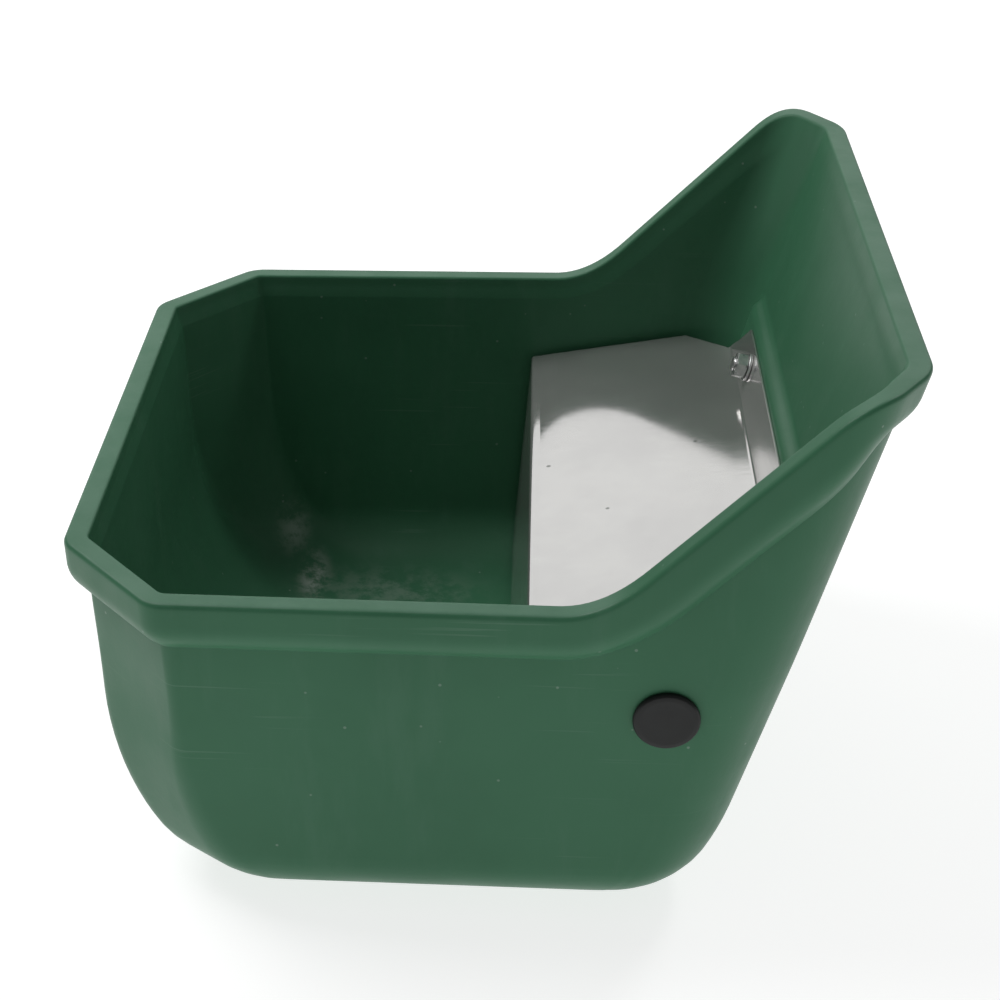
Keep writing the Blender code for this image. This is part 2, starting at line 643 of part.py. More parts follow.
def build_lever(hinge, arm):
    """A cast lever: eye on the pin, heel that pushes the plunger, boss that holds the rod."""
    lever = capsule_plate("lever", Vector((0, 0)), EYE_R, Vector((0, PIVOT_DROP)), HEEL_R,
                          LEVER_T, BRASS, hinge)
    link = capsule_plate("lever_link", Vector((0, 0)), EYE_R, Vector((LINK_END, 0)), LINK_END_R,
                         LEVER_T, None, arm)
    boss = prism("lever_boss", ROUND, BOSS_R, BOSS_START, BOSS_END, parent=arm)
    boss.matrix_local = Matrix.Rotation(math.radians(90), 4, 'Y')
    boolean(lever, as_tool(link), 'UNION')
    boolean(lever, as_tool(boss), 'UNION')
    rod_hole = prism("rod_hole", 16, ROD_R + GAP, SOCKET_START, BOSS_END + OVERCUT, parent=arm)
    rod_hole.matrix_local = Matrix.Rotation(math.radians(90), 4, 'Y')
    boolean(lever, as_tool(rod_hole))
    cylinder_cut(lever, "eye_hole", PIN_R + GAP, -0.01, 0.01, hinge)


def build_rod(arm):
    """A cranked rod that carries the float towards the middle of the chamber."""
    curve = bpy.data.curves.new("float_rod", 'CURVE')
    curve.dimensions = '3D'
    curve.bevel_depth = ROD_R
    curve.bevel_resolution = 3
    curve.use_fill_caps = True
    steps = 12
    points = [(ROD_START, 0.0)]
    for step in range(steps + 1):
        along = step / steps
        points.append((CRANK_FROM + (CRANK_TO - CRANK_FROM) * along, CRANK * along * along * (3 - 2 * along)))
    points.append((ROD_END, CRANK))
    line = curve.splines.new('POLY')
    line.points.add(len(points) - 1)
    for target, (x, z) in zip(line.points, points):
        target.co = (x, 0.0, z, 1.0)
    solid_from_curve("float_rod", curve, STAINLESS, arm)


def build_float(arm):
    """A hollow-moulded block with a lug, clamped on the rod between two nuts."""
    block = bmesh.new()
    length, height, width = FLOAT_SIZE
    bmesh.ops.create_cube(block, size=1.0,
                          matrix=Matrix.Translation((LUG_X, FLOAT_TOP - height / 2, CRANK))
                          @ Matrix.Diagonal((length, height, width, 1.0)))
    made = add("float", mesh_from_bmesh("float", block), FLOAT_PLASTIC, arm)
    edges = made.modifiers.new("edges", 'BEVEL')
    edges.width = FLOAT_EDGE
    edges.segments = 3
    lug = bmesh.new()
    bmesh.ops.create_cube(lug, size=1.0, matrix=Matrix.Translation((LUG_X, FLOAT_TOP + LUG_MIDDLE, CRANK))
                          @ Matrix.Diagonal((*LUG_SIZE, 1.0)))
    boolean(made, as_tool(add("float_lug", mesh_from_bmesh("float_lug", lug), parent=arm)), 'UNION')
    along_rod = Matrix.Translation((0, 0, CRANK)) @ Matrix.Rotation(math.radians(90), 4, 'Y')
    hole = prism("lug_hole", 16, ROD_R + GAP, LUG_X - 0.02, LUG_X + 0.02, parent=arm)
    hole.matrix_local = along_rod
    boolean(made, as_tool(hole))
    face = LUG_SIZE[0] / 2 + GAP
    along_arm = Matrix.Rotation(math.radians(90), 4, 'Y')
    for name, bottom, matrix in (("float_nut_inner", LUG_X - face - SMALL_NUT_T, along_rod),
                                 ("float_nut_outer", LUG_X + face, along_rod),
                                 ("rod_locknut", BOSS_END + GAP, along_arm)):
        hex_nut(name, SMALL_NUT_AF, ROD_R + GAP, bottom, bottom + SMALL_NUT_T, ZINC, arm, matrix)


# ---------------------------------------------------------------- assembly
tank = build_tank()

side_wall_y = HALF_WIDTH - wall_offset(SIDE_WALL, PORT_Z, 0.0)
outward_far = Matrix.Rotation(-(math.pi / 2 + SIDE_TILT), 3, 'X')
outward_near = Matrix.Rotation(math.pi / 2 + SIDE_TILT, 3, 'X')
outward_back = Matrix.Rotation(math.pi / 2 + REAR_TILT, 3, 'Y')


def back_point(y, z):
    return Vector((LENGTH / 2 - wall_offset(REAR_WALL, z, 0.0), y, z))


valve_frame = frame_at("valve_frame", Vector((PORT_X - LENGTH / 2, side_wall_y, PORT_Z)), outward_far)
plunger_frame = frame_at("plunger_frame", valve_frame.matrix_world.translation, outward_far)
side_plug_frame = frame_at("side_plug_frame", Vector((PORT_X - LENGTH / 2, -side_wall_y, PORT_Z)), outward_near)
rear_plug_frame = frame_at("rear_plug_frame", back_point(REAR_PLUG_Y, REAR_PLUG_Z), outward_back)
recess_frame = frame_at("recess_frame", back_point(0.0, BOLT_Z), outward_back)

pad = recess_block("recess_pad", SKIN / 2, SKIN + RECESS_DEPTH, RECESS_SLOPE, recess_frame)
recess = recess_block("recess_cut", -0.001, RECESS_DEPTH, 0.0, recess_frame)
boolean(tank, pad, 'UNION')
boolean(tank, recess)

cover = build_cover()
for side, y in (("left", BOLT_Y), ("right", -BOLT_Y)):
    bolt_frame = frame_at("bolt_frame_" + side, back_point(y, BOLT_Z), outward_back)
    build_cover_fixing(side, bolt_frame)
    cylinder_cut(tank, "bolt_hole_tank_" + side, BOLT_R + BOLT_CLEARANCE, -BOLT_REACH, OVERCUT, bolt_frame)
    cylinder_cut(cover, "bolt_hole_cover_" + side, BOLT_R + BOLT_CLEARANCE, -BOLT_REACH, OVERCUT, bolt_frame)

cylinder_cut(tank, "valve_hole", SHANK_R + SHANK_CLEARANCE, -PORT_REACH, PORT_REACH, valve_frame)
for name, frame in (("side_plug", side_plug_frame), ("rear_plug", rear_plug_frame)):
    build_plug(name, frame)
    cylinder_cut(tank, name + "_hole", PLUG_HOLE_R, -PORT_REACH, PORT_REACH, frame)

build_valve(valve_frame)
build_plunger(plunger_frame)

# hinge axis along X, under the valve's axis; in this frame X runs inwards and Y up
swing = Matrix(((0, 0, -1), (0, -1, 0), (-1, 0, 0)))
pivot = valve_frame.matrix_world @ Vector((0, PIVOT_DROP, PIVOT_S))
hinge_frame = frame_at("hinge_frame", pivot, outward_far @ swing)
arm_frame = frame_at("arm_frame", pivot, outward_far @ swing @ Matrix.Rotation(-HANG_ANGLE, 3, 'Z'))
build_lever(hinge_frame, arm_frame)
build_rod(arm_frame)
build_float(arm_frame)
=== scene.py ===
"""Looks of the float valve trough: fine meshes, procedural materials and soft studio light.

Metres, +Z up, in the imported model's frame: -X is the low front, where the animal drinks, and +X the
raised back.  The tank stands on z = 0 and is symmetric about y = 0.
"""
import math

import bmesh
import bpy
from mathutils import Matrix, Vector


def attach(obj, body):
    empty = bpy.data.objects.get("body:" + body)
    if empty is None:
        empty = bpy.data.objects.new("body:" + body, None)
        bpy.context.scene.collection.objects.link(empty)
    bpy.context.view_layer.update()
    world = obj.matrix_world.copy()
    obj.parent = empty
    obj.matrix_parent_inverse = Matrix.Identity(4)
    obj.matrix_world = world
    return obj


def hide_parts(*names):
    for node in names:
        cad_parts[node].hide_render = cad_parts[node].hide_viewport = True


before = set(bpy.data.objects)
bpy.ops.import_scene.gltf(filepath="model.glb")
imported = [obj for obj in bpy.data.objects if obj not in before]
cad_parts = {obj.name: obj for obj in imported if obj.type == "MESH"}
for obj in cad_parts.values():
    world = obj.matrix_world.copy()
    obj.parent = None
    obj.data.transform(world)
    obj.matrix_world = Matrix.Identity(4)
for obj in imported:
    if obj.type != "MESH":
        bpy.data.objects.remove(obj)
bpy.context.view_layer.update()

# ---------------------------------------------------------------- dimensions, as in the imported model
LENGTH = 0.4025
HALF_WIDTH = 0.203
FRONT_HALF_WIDTH = 0.1986
RIM_Z = 0.192
CREST_Z = RIM_Z + 0.110
RISE_START = 0.2578           # distance from the front at which the rim starts to climb at 45 degrees
LOWER_BEND = 0.020            # half length of the soft bend at the foot of the rise
UPPER_BEND = 0.014            # half length of the soft bend at its head
FRONT_CHAMFER = (0.050, 0.057)
FRONT_CHAMFER_LOW = (0.0405, 0.029)
REAR_CHAMFER = (0.026, 0.038)
REAR_ROUND = 0.0515
FRONT_CORNER = 0.018          # radius of the front chamfers' edges on the rim
FRONT_CORNER_GROWTH = 0.024   # how much larger that radius is at the floor
REAR_CORNER = 0.034           # radius of the rear chamfers' edges on the rim
LEAST_CORNER = 0.004
ROUND_SHARE = 0.92            # of the full round's radius, so that its two arcs never meet
SKIN = 0.005
GAP = 0.0003                  # clearance between touching pieces
QUARTER = math.radians(90)
BAND_HEIGHT = 0.0275
BAND_PROUD = 0.009
LIP_WIDTH = 0.012
OUTER_EDGE = 0.0027           # radius of the rim's outer edge
INNER_EDGE = 0.0017           # radius of its inner edge
PARALLEL = math.tan(math.pi / 8)     # how far a line below the rim starts its climb later, per unit of drop
INNER_FOOT = 0.012            # drop at which the inner wall leaves the lip
SIDE_SPLIT = 0.300            # a side's stations are at fixed places in front of this
SIDE_TAIL = 0.045             # and spread over at least this length behind it
WALL_TOP = RIM_Z - 0.041
WALL_TOP_SOFT = 0.012         # half height of the bend above which the side walls are upright
CORNER_TOP = RIM_Z - 0.052    # height below which the vertical corners open out
CHAMFER_SHRINK = 2 - math.sqrt(2)
FRONT_WALL = dict(offset=0.0107, at=RIM_Z - 0.034, lean=0.036, run=0.071, rise=0.105)
SIDE_WALL = dict(offset=BAND_PROUD, at=WALL_TOP, lean=0.063, run=0.051, rise=0.035)
REAR_WALL = dict(offset=0.0148, at=RIM_Z + 0.081, lean=0.273, run=0.027, rise=0.059)
REAR_TILT = math.atan(REAR_WALL["lean"])
SIDE_TILT = math.atan(SIDE_WALL["lean"])

BOLT_Z = RIM_Z - 0.016
BOLT_Y = 0.094
RECESS_TOP = 0.0216
RECESS_BOTTOM = -0.075
RECESS_HALF_WIDTH = 0.158
RECESS_DEPTH = 0.006
RECESS_SLOPE = 0.009
PAD_GROWTH = 0.0015           # the pad inside starts this far beyond the recess outside

SHEET = 0.0012
COVER_FRONT = 0.2239
COVER_FRONT_Z = RIM_Z - 0.050
COVER_FOOT = 0.2141
COVER_FOOT_Z = 0.017
COVER_HALF_WIDTH = 0.184
COVER_CHAMFER_X = 0.319       # the top's rear corners are cut off behind this
COVER_STRAIGHT_Z = 0.046      # the front panel's sides follow the tank's fillet below this height
FLANGE_HALF_FOOT = 0.158
FLANGE_HALF_TOP = 0.124
FLANGE_TOP = 0.0112
FLANGE_FOOT = -0.0168
SHEET_BEND = 0.0025
BRAKE_LINE = 0.0055           # a faint press mark behind the cover's front bend

BOLT_R = 0.0039
WASHER_T = 0.0016
NUT_T = 0.0065
NUT_AF = 0.013
BOLT_END = 0.0015             # thread beyond the nut
BOLT_PITCH = 0.00125
BOLT_CLEARANCE = 0.0005       # round a bolt in the tank and the cover
CUP_R = 0.0078
CUP_EDGE = 0.0008             # height of the cup head's upright edge
CUP_CROWN = 0.0034            # height of its dome above that
WASHER_BORE = 0.0043
WASHER_R = 0.008
BACK_WASHER_R = 0.009
NUT_BORE = 0.0042
PLUG_HOLE_R = 0.0114
PLUG_HEAD_R = 0.016
PLUG_HEAD_T = 0.0032
PLUG_STEM_R = 0.011
PLUG_STEM = 0.013
PORT_X = 0.290
PORT_Z = RIM_Z - 0.0605
REAR_PLUG_Y = -0.130
REAR_PLUG_Z = RIM_Z - 0.118

# float valve, measured along its axis from the outer face of the side wall, negative inwards
SHANK_R = 0.0104
SHANK_END = 0.026
SHANK_PITCH = 0.0018
SHANK_CLEARANCE = 0.0004      # round the shank in the wall, gasket and washer
GASKET_R = 0.0165
GASKET_T = 0.003
VALVE_WASHER_T = 0.0015
LOCKNUT_AF = 0.030
LOCKNUT_T = 0.0065
VALVE_FLANGE_T = 0.0045
CHAMBER_END = -0.0130         # outer end of the plunger's chamber, where the inlet starts
SEAT_BORE_R = 0.0022
SEAT_FACE = -0.0222
OUTLET_R = 0.0032             # outlet port in the chamber's underside, and its place
OUTLET_S = -0.026
VALVE_R = 0.013
VALVE_FLANGE_R = 0.016
VALVE_BORE_R = 0.0073
INLET_R = 0.0055
FORK_END = -0.070
FORK_START = -0.047
PIVOT_S = -0.062
PIVOT_DROP = 0.008
PIN_R = 0.002
PIN_HEAD = 0.0130             # where the pin's head starts, and on the other side its clip
PLUNGER_FACE = -0.0300
PLUNGER_TAIL = -0.0576
HANG_ANGLE = math.radians(30)

# lever, rod and float, measured from the pivot along the arm
LEVER_T = 0.005
BOSS_END = 0.026
ROD_R = 0.0025
ROD_END = 0.094
ROD_START = 0.0165
CRANK = 0.019                 # how far the rod's crank lifts it, and where the crank starts and ends
CRANK_FROM = 0.036
CRANK_TO = 0.058
LUG_X = 0.080
LUG_SIZE = (0.012, 0.022, 0.014)
LUG_MIDDLE = 0.005            # the lug's middle above the float's top
SMALL_NUT_AF = 0.008
SMALL_NUT_T = 0.004
FLOAT_SIZE = (0.080, 0.042, 0.060)
FLOAT_TOP = -0.010

# pale patches low inside the front, partly lime left by water that dried and partly a painted highlight on
# the floor fillet: place, reach along each axis, strength
LIME_AND_HIGHLIGHT = (((-0.113, 0.137, 0.006), (0.014, 0.036, 0.020), 0.75),
         ((-0.129, 0.168, 0.020), (0.016, 0.026, 0.030), 0.45),
         ((-0.068, 0.125, 0.005), (0.085, 0.036, 0.012), 0.22))

# the fitted view: the camera's place, its heading and pitch below the horizon, and its roll
CAMERA_PLACE = Vector((0.0206, -1.0077, 0.6969))
CAMERA_HEADING = math.radians(0.80)
CAMERA_PITCH = math.radians(28.89)
CAMERA_ROLL = math.radians(0.77)
CAMERA_LENS = 75.6

FLOOR_GLOW = 0.76             # the floor's own light, which keeps it white up to the picture's edges
WORLD_GLOW = 0.19
LIGHT_TARGET = Vector((0.0, 0.0, 0.1))


# ---------------------------------------------------------------- materials
class Surface:
    """One material's node tree, with short calls for the nodes that the materials share."""

    def __init__(self, name, **sockets):
        self.material = bpy.data.materials.new(name)
        self.material.use_nodes = True
        self.nodes = self.material.node_tree.nodes
        self.links = self.material.node_tree.links
        self.shader = self.nodes["Principled BSDF"]
        self.place = self.nodes.new("ShaderNodeTexCoord").outputs["Object"]
        for socket, value in sockets.items():
            self.shader.inputs[socket.replace("_", " ")].default_value = value

    def feed(self, socket, value):
        if hasattr(value, "links"):
            self.links.new(value, socket)
        elif value is not None:
            socket.default_value = value

    def stretched(self, x=1.0, y=1.0, z=1.0):
        node = self.nodes.new("ShaderNodeMapping")
        self.links.new(self.place, node.inputs["Vector"])
        node.inputs["Scale"].default_value = (x, y, z)
        return node.outputs["Vector"]

    def noise(self, scale, detail=3.0, rough=0.5, vector=None):
        node = self.nodes.new("ShaderNodeTexNoise")
        self.links.new(vector or self.place, node.inputs["Vector"])
        node.inputs["Scale"].default_value = scale
        node.inputs["Detail"].default_value = detail
        node.inputs["Roughness"].default_value = rough
        return node.outputs["Fac"]

    def cells(self, scale):
        node = self.nodes.new("ShaderNodeTexVoronoi")
        self.links.new(self.place, node.inputs["Vector"])
        node.inputs["Scale"].default_value = scale
        return node.outputs["Distance"], node.outputs["Color"]

    def grade(self, value, low, high, out_low=0.0, out_high=1.0):
        node = self.nodes.new("ShaderNodeMapRange")
        node.interpolation_type = 'SMOOTHSTEP'
        self.feed(node.inputs["Value"], value)
        ends = {"From Min": low, "From Max": high, "To Min": out_low, "To Max": out_high}
        for socket, number in ends.items():
            node.inputs[socket].default_value = number
        return node.outputs["Result"]

    def calc(self, operation, first, second=None):
        node = self.nodes.new("ShaderNodeMath")
        node.operation = operation
        self.feed(node.inputs[0], first)
        self.feed(node.inputs[1], second)
        return node.outputs["Value"]

    def blend(self, factor, first, second, mode='MIX'):
        node = self.nodes.new("ShaderNodeMix")
        node.data_type = 'RGBA'
        node.blend_type = mode
        self.feed(node.inputs["Factor"], factor)
        colours = [socket for socket in node.inputs if socket.type == 'RGBA']
        for socket, value in zip(colours, (first, second)):
            self.feed(socket, (*value, 1.0) if isinstance(value, tuple) else value)
        return [socket for socket in node.outputs if socket.type == 'RGBA'][0]

    def upward(self, low, high):
        """Faces that look up."""
        split = self.nodes.new("ShaderNodeSeparateXYZ")
        self.links.new(self.nodes.new("ShaderNodeNewGeometry").outputs["Normal"], split.inputs["Vector"])
        return self.grade(split.outputs["Z"], low, high)

    def above(self, low, high):
        """Places higher than low, in full from high."""
        split = self.nodes.new("ShaderNodeSeparateXYZ")
        self.links.new(self.place, split.inputs["Vector"])
        return self.grade(split.outputs["Z"], low, high)

    def near(self, place, size):
        """A soft blob round a place: 1 in its middle, 0 at size from it along each axis."""
        shift = self.nodes.new("ShaderNodeMapping")
        self.links.new(self.place, shift.inputs["Vector"])
        scale = [1.0 / length for length in size]
        shift.inputs["Scale"].default_value = scale
        shift.inputs["Location"].default_value = [-at * by for at, by in zip(place, scale)]
        length = self.nodes.new("ShaderNodeVectorMath")
        length.operation = 'LENGTH'
        self.links.new(shift.outputs["Vector"], length.inputs[0])
        return self.grade(length.outputs["Value"], 1.0, 0.1)

    def convex_edges(self, low, high):
        """Convex edges, from the mesh's own curvature."""
        geometry = self.nodes.new("ShaderNodeNewGeometry")
        return self.grade(geometry.outputs["Pointiness"], low, high)

    def specks(self, scale, size, share):
        """Sparse dots: only the cells whose random colour is under share hold one."""
        distance, colour = self.cells(scale)
        split = self.nodes.new("ShaderNodeSeparateColor")
        self.links.new(colour, split.inputs["Color"])
        chosen = self.calc('LESS_THAN', split.outputs["Red"], share)
        return self.calc('MULTIPLY', self.grade(distance, size, size * 0.5), chosen)

    def scratches(self, level, stretch, patches):
        """Short thin streaks: the peaks of a stretched noise, where a coarse noise is high."""
        streaks = self.grade(self.noise(4.0, 1.0, 0.4, self.stretched(*stretch)), level, level + 0.05)
        return self.calc('MULTIPLY', streaks, self.grade(self.noise(patches, 2.0), 0.52, 0.66))

    def bump(self, height, strength, distance, under=None):
        node = self.nodes.new("ShaderNodeBump")
        node.inputs["Strength"].default_value = strength
        node.inputs["Distance"].default_value = distance
        self.links.new(height, node.inputs["Height"])
        if under is not None:
            self.links.new(under, node.inputs["Normal"])
        return node.outputs["Normal"]

    def finish(self, colour, roughness=None, normal=None):
        self.feed(self.shader.inputs["Base Color"], colour)
        self.feed(self.shader.inputs["Roughness"], roughness)
        if normal is not None:
            self.links.new(normal, self.shader.inputs["Normal"])
        return self.material


def green_polyethylene():
    """Satin moulded polyethylene: mottled green, pale edges that are partly wear and partly a painted
    highlight, a rim top painted lighter (partly rubbing, partly painted light from above), pale patches of
    lime with a painted highlight, scuffs, dust specks, orange peel.
    """
    s = Surface("green_polyethylene", IOR=1.5)
    s.shader.inputs["Specular IOR Level"].default_value = 0.18
    mottle = s.grade(s.noise(7.0, 4.0, 0.6), 0.35, 0.65)
    colour = s.blend(mottle, (0.0410, 0.1440, 0.0760), (0.0460, 0.1570, 0.0840))
    cloud = s.grade(s.noise(45.0, 4.0, 0.6), 0.45, 0.75, 0.0, 0.08)
    colour = s.blend(cloud, colour, (0.060, 0.150, 0.100))
    # pale convex edges: partly wear, partly a painted highlight along the rim's edges
    edge_wear_and_highlight = s.calc('MULTIPLY', s.convex_edges(0.54, 0.64), s.grade(s.noise(60.0, 5.0, 0.7), 0.38, 0.60, 0.25, 1.0))
    colour = s.blend(s.calc('MULTIPLY', edge_wear_and_highlight, 0.60), colour, (0.190, 0.330, 0.250))
    # the rim's upward faces painted lighter: partly rubbing, partly painted light from above
    top_rub_and_light = s.calc('MULTIPLY', s.upward(0.75, 0.95), s.above(RIM_Z - 0.006, RIM_Z - 0.003))
    top_rub_and_light = s.calc('MULTIPLY', top_rub_and_light, s.grade(s.noise(26.0, 4.0, 0.6), 0.30, 0.65, 0.20, 0.42))
    colour = s.blend(top_rub_and_light, colour, (0.150, 0.265, 0.195))
    grain = s.grade(s.noise(70.0, 5.0, 0.7), 0.38, 0.62)
    # pale patches: partly lime, partly a painted highlight on the inside floor fillet
    for place, size, strength in LIME_AND_HIGHLIGHT:
        lime_and_highlight_patch = s.calc('MULTIPLY', s.near(place, size), s.calc('MULTIPLY', grain, strength))
        colour = s.blend(lime_and_highlight_patch, colour, (0.42, 0.48, 0.43))
    scuff = s.scratches(0.68, (3.0, 3.0, 140.0), 8.0)
    smear = s.grade(s.noise(5.0, 5.0, 0.65, s.stretched(9.0, 9.0, 2.0)), 0.50, 0.75)
    colour = s.blend(s.calc('MULTIPLY', scuff, 0.25), colour, (0.16, 0.27, 0.20))
    colour = s.blend(s.calc('MULTIPLY', smear, 0.10), colour, (0.14, 0.24, 0.18))
    dust = s.specks(110.0, 0.11, 0.16)
    colour = s.blend(s.calc('MULTIPLY', dust, 0.45), colour, (0.28, 0.36, 0.31))
    roughness = s.grade(s.noise(24.0, 4.0, 0.6), 0.30, 0.70, 0.36, 0.44)
    roughness = s.calc('ADD', roughness, s.calc('MULTIPLY', s.calc('ADD', scuff, smear), 0.08))
    peel = s.bump(s.noise(420.0, 2.0), 0.10, 0.0004)
    normal = s.bump(s.noise(38.0, 2.0), 0.10, 0.0016, peel)
    return s.finish(colour, roughness, normal)


def satin_stainless():
    """Cold rolled sheet: a soft mirror with a haze, faint rolling grain, dust and a few dark crumbs."""
    s = Surface("satin_stainless", Metallic=0.80)
    grain = s.noise(900.0, 2.0, 0.5, s.stretched(0.02, 1.0, 1.0))
    cloud = s.noise(16.0, 4.0, 0.6)
    colour = s.blend(s.grade(cloud, 0.3, 0.7), (0.66, 0.655, 0.645), (0.72, 0.715, 0.70))
    scratch = s.scratches(0.68, (160.0, 4.0, 4.0), 12.0)
    colour = s.blend(s.calc('MULTIPLY', scratch, 0.25), colour, (0.86, 0.86, 0.85))
    crumbs = s.specks(62.0, 0.11, 0.16)
    colour = s.blend(s.calc('MULTIPLY', crumbs, 0.75), colour, (0.10, 0.12, 0.10))
    dust = s.specks(230.0, 0.13, 0.14)
    colour = s.blend(s.calc('MULTIPLY', dust, 0.6), colour, (0.90, 0.90, 0.88))
    haze = s.grade(s.noise(11.0, 3.0), 0.35, 0.70, 0.0, 0.10)
    colour = s.blend(haze, colour, (0.50, 0.50, 0.49))
    roughness = s.grade(cloud, 0.3, 0.7, 0.09, 0.12)
    roughness = s.calc('ADD', roughness, s.grade(grain, 0.3, 0.7, -0.02, 0.02))
    normal = s.bump(grain, 0.05, 0.0001, s.bump(s.noise(9.0, 2.0), 0.10, 0.0012))
    return s.finish(colour, roughness, normal)


def bright_zinc():
    s = Surface("bright_zinc", Metallic=1.0)
    cloud = s.noise(260.0, 4.0, 0.6)
    colour = s.blend(s.grade(cloud, 0.35, 0.65), (0.62, 0.63, 0.64), (0.80, 0.80, 0.79))
    colour = s.blend(s.calc('MULTIPLY', s.convex_edges(0.52, 0.62), 0.4), colour, (0.90, 0.90, 0.89))
    roughness = s.grade(cloud, 0.3, 0.7, 0.26, 0.40)
    return s.finish(colour, roughness, s.bump(s.noise(700.0, 3.0), 0.12, 0.0002))


def black_plastic():
    s = Surface("black_plastic", IOR=1.5)
    s.shader.inputs["Specular IOR Level"].default_value = 0.30
    mottle = s.grade(s.noise(60.0, 4.0, 0.6), 0.35, 0.7)
    colour = s.blend(mottle, (0.0060, 0.0070, 0.0070), (0.0110, 0.0125, 0.0120))
    colour = s.blend(s.calc('MULTIPLY', s.convex_edges(0.53, 0.62), 0.25), colour, (0.06, 0.065, 0.062))
    dust = s.specks(420.0, 0.13, 0.05)
    colour = s.blend(s.calc('MULTIPLY', dust, 0.35), colour, (0.16, 0.17, 0.16))
    roughness = s.grade(s.noise(120.0, 4.0), 0.3, 0.7, 0.40, 0.52)
    return s.finish(colour, roughness, s.bump(s.noise(1500.0, 2.0), 0.12, 0.0002))


def black_rubber():
    s = Surface("black_rubber", IOR=1.5)
    colour = s.blend(s.noise(300.0, 4.0), (0.012, 0.012, 0.012), (0.030, 0.030, 0.029))
    roughness = s.grade(s.noise(500.0, 3.0), 0.3, 0.7, 0.65, 0.85)
    return s.finish(colour, roughness, s.bump(s.noise(900.0, 3.0), 0.25, 0.0003))


def brass():
    """Turned and cast brass with tool marks and a light tarnish."""
    s = Surface("brass", Metallic=1.0)
    tarnish = s.grade(s.noise(90.0, 5.0, 0.65), 0.42, 0.68)
    colour = s.blend(tarnish, (0.70, 0.49, 0.20), (0.42, 0.29, 0.13))
    colour = s.blend(s.calc('MULTIPLY', s.convex_edges(0.52, 0.60), 0.5), colour, (0.83, 0.64, 0.32))
    marks = s.noise(1400.0, 2.0, 0.5, s.stretched(0.05, 0.05, 1.0))
    roughness = s.calc('ADD', s.grade(tarnish, 0.0, 1.0, 0.22, 0.42), s.grade(marks, 0.3, 0.7, -0.03, 0.03))
    return s.finish(colour, roughness, s.bump(marks, 0.12, 0.0001))


def white_nylon():
    s = Surface("white_nylon", IOR=1.53)
    s.shader.inputs["Subsurface Weight"].default_value = 0.10
    s.shader.inputs["Subsurface Radius"].default_value = (0.004, 0.003, 0.002)
    colour = s.blend(s.noise(120.0, 4.0), (0.70, 0.69, 0.62), (0.80, 0.79, 0.74))
    roughness = s.grade(s.noise(300.0, 3.0), 0.3, 0.7, 0.32, 0.45)
    return s.finish(colour, roughness, s.bump(s.noise(900.0, 2.0), 0.10, 0.0002))


def float_polyethylene():
    """Blow-moulded float: milky, with patchy dirt and orange peel."""
    s = Surface("float_polyethylene", IOR=1.5)
    s.shader.inputs["Subsurface Weight"].default_value = 0.08
    s.shader.inputs["Subsurface Radius"].default_value = (0.006, 0.005, 0.004)
    stain = s.grade(s.noise(38.0, 5.0, 0.65), 0.48, 0.75)
    colour = s.blend(stain, (0.72, 0.72, 0.67), (0.50, 0.50, 0.43))
    roughness = s.grade(stain, 0.0, 1.0, 0.38, 0.58)
    return s.finish(colour, roughness, s.bump(s.noise(320.0, 3.0), 0.20, 0.0004))


MATERIALS = {make.__name__: make() for make in (
    green_polyethylene, satin_stainless, bright_zinc, black_plastic, black_rubber, brass, white_nylon,
    float_polyethylene)}


# ---------------------------------------------------------------- mesh tools
def mesh_object(name, shape, matrix=None, smooth_below=38.0):
    """A scene object from a bmesh, shaded smooth but for edges sharper than smooth_below degrees."""
    bmesh.ops.recalc_face_normals(shape, faces=shape.faces)
    data = bpy.data.meshes.new(name)
    shape.to_mesh(data)
    shape.free()
    data.shade_smooth()
    data.set_sharp_from_angle(angle=math.radians(smooth_below))
    made = bpy.data.objects.new(name, data)
    bpy.context.scene.collection.objects.link(made)
    if matrix is not None:
        made.matrix_world = matrix
    return made


def combine(piece, tool, operation='DIFFERENCE', smooth_below=38.0):
    """Apply a Boolean and delete the tool."""
    modifier = piece.modifiers.new("shape", 'BOOLEAN')
    modifier.operation = operation
    modifier.solver = 'EXACT'
    modifier.object = tool
    bpy.context.view_layer.update()
    graph = bpy.context.evaluated_depsgraph_get()
    data = bpy.data.meshes.new_from_object(piece.evaluated_get(graph))
    piece.modifiers.clear()
    piece.data = data
    data.name = piece.name
    data.shade_smooth()
    data.set_sharp_from_angle(angle=math.radians(smooth_below))
    bpy.data.objects.remove(tool)
    return piece


def bevelled(piece, width, angle):
    """Soften the edges that are sharper than angle degrees."""
    modifier = piece.modifiers.new("edges", 'BEVEL')
    modifier.width = width
    modifier.segments = 2
    modifier.limit_method = 'ANGLE'
    modifier.angle_limit = math.radians(angle)
    modifier.harden_normals = True
    return piece


def skinned(loops, closed=False):
    """Join rings of points into a skin of quads, capped at both ends or closed into a ring."""
    shape = bmesh.new()
    rings = [[shape.verts.new(point) for point in loop] for loop in loops]
    pairs = list(zip(rings, rings[1:])) + ([(rings[-1], rings[0])] if closed else [])
    for lower, upper in pairs:
        count = len(lower)
        for index in range(count):
            after = (index + 1) % count
            shape.faces.new((lower[index], lower[after], upper[after], upper[index]))
    if not closed:
        shape.faces.new(rings[0])
        shape.faces.new(rings[-1])
    return shape


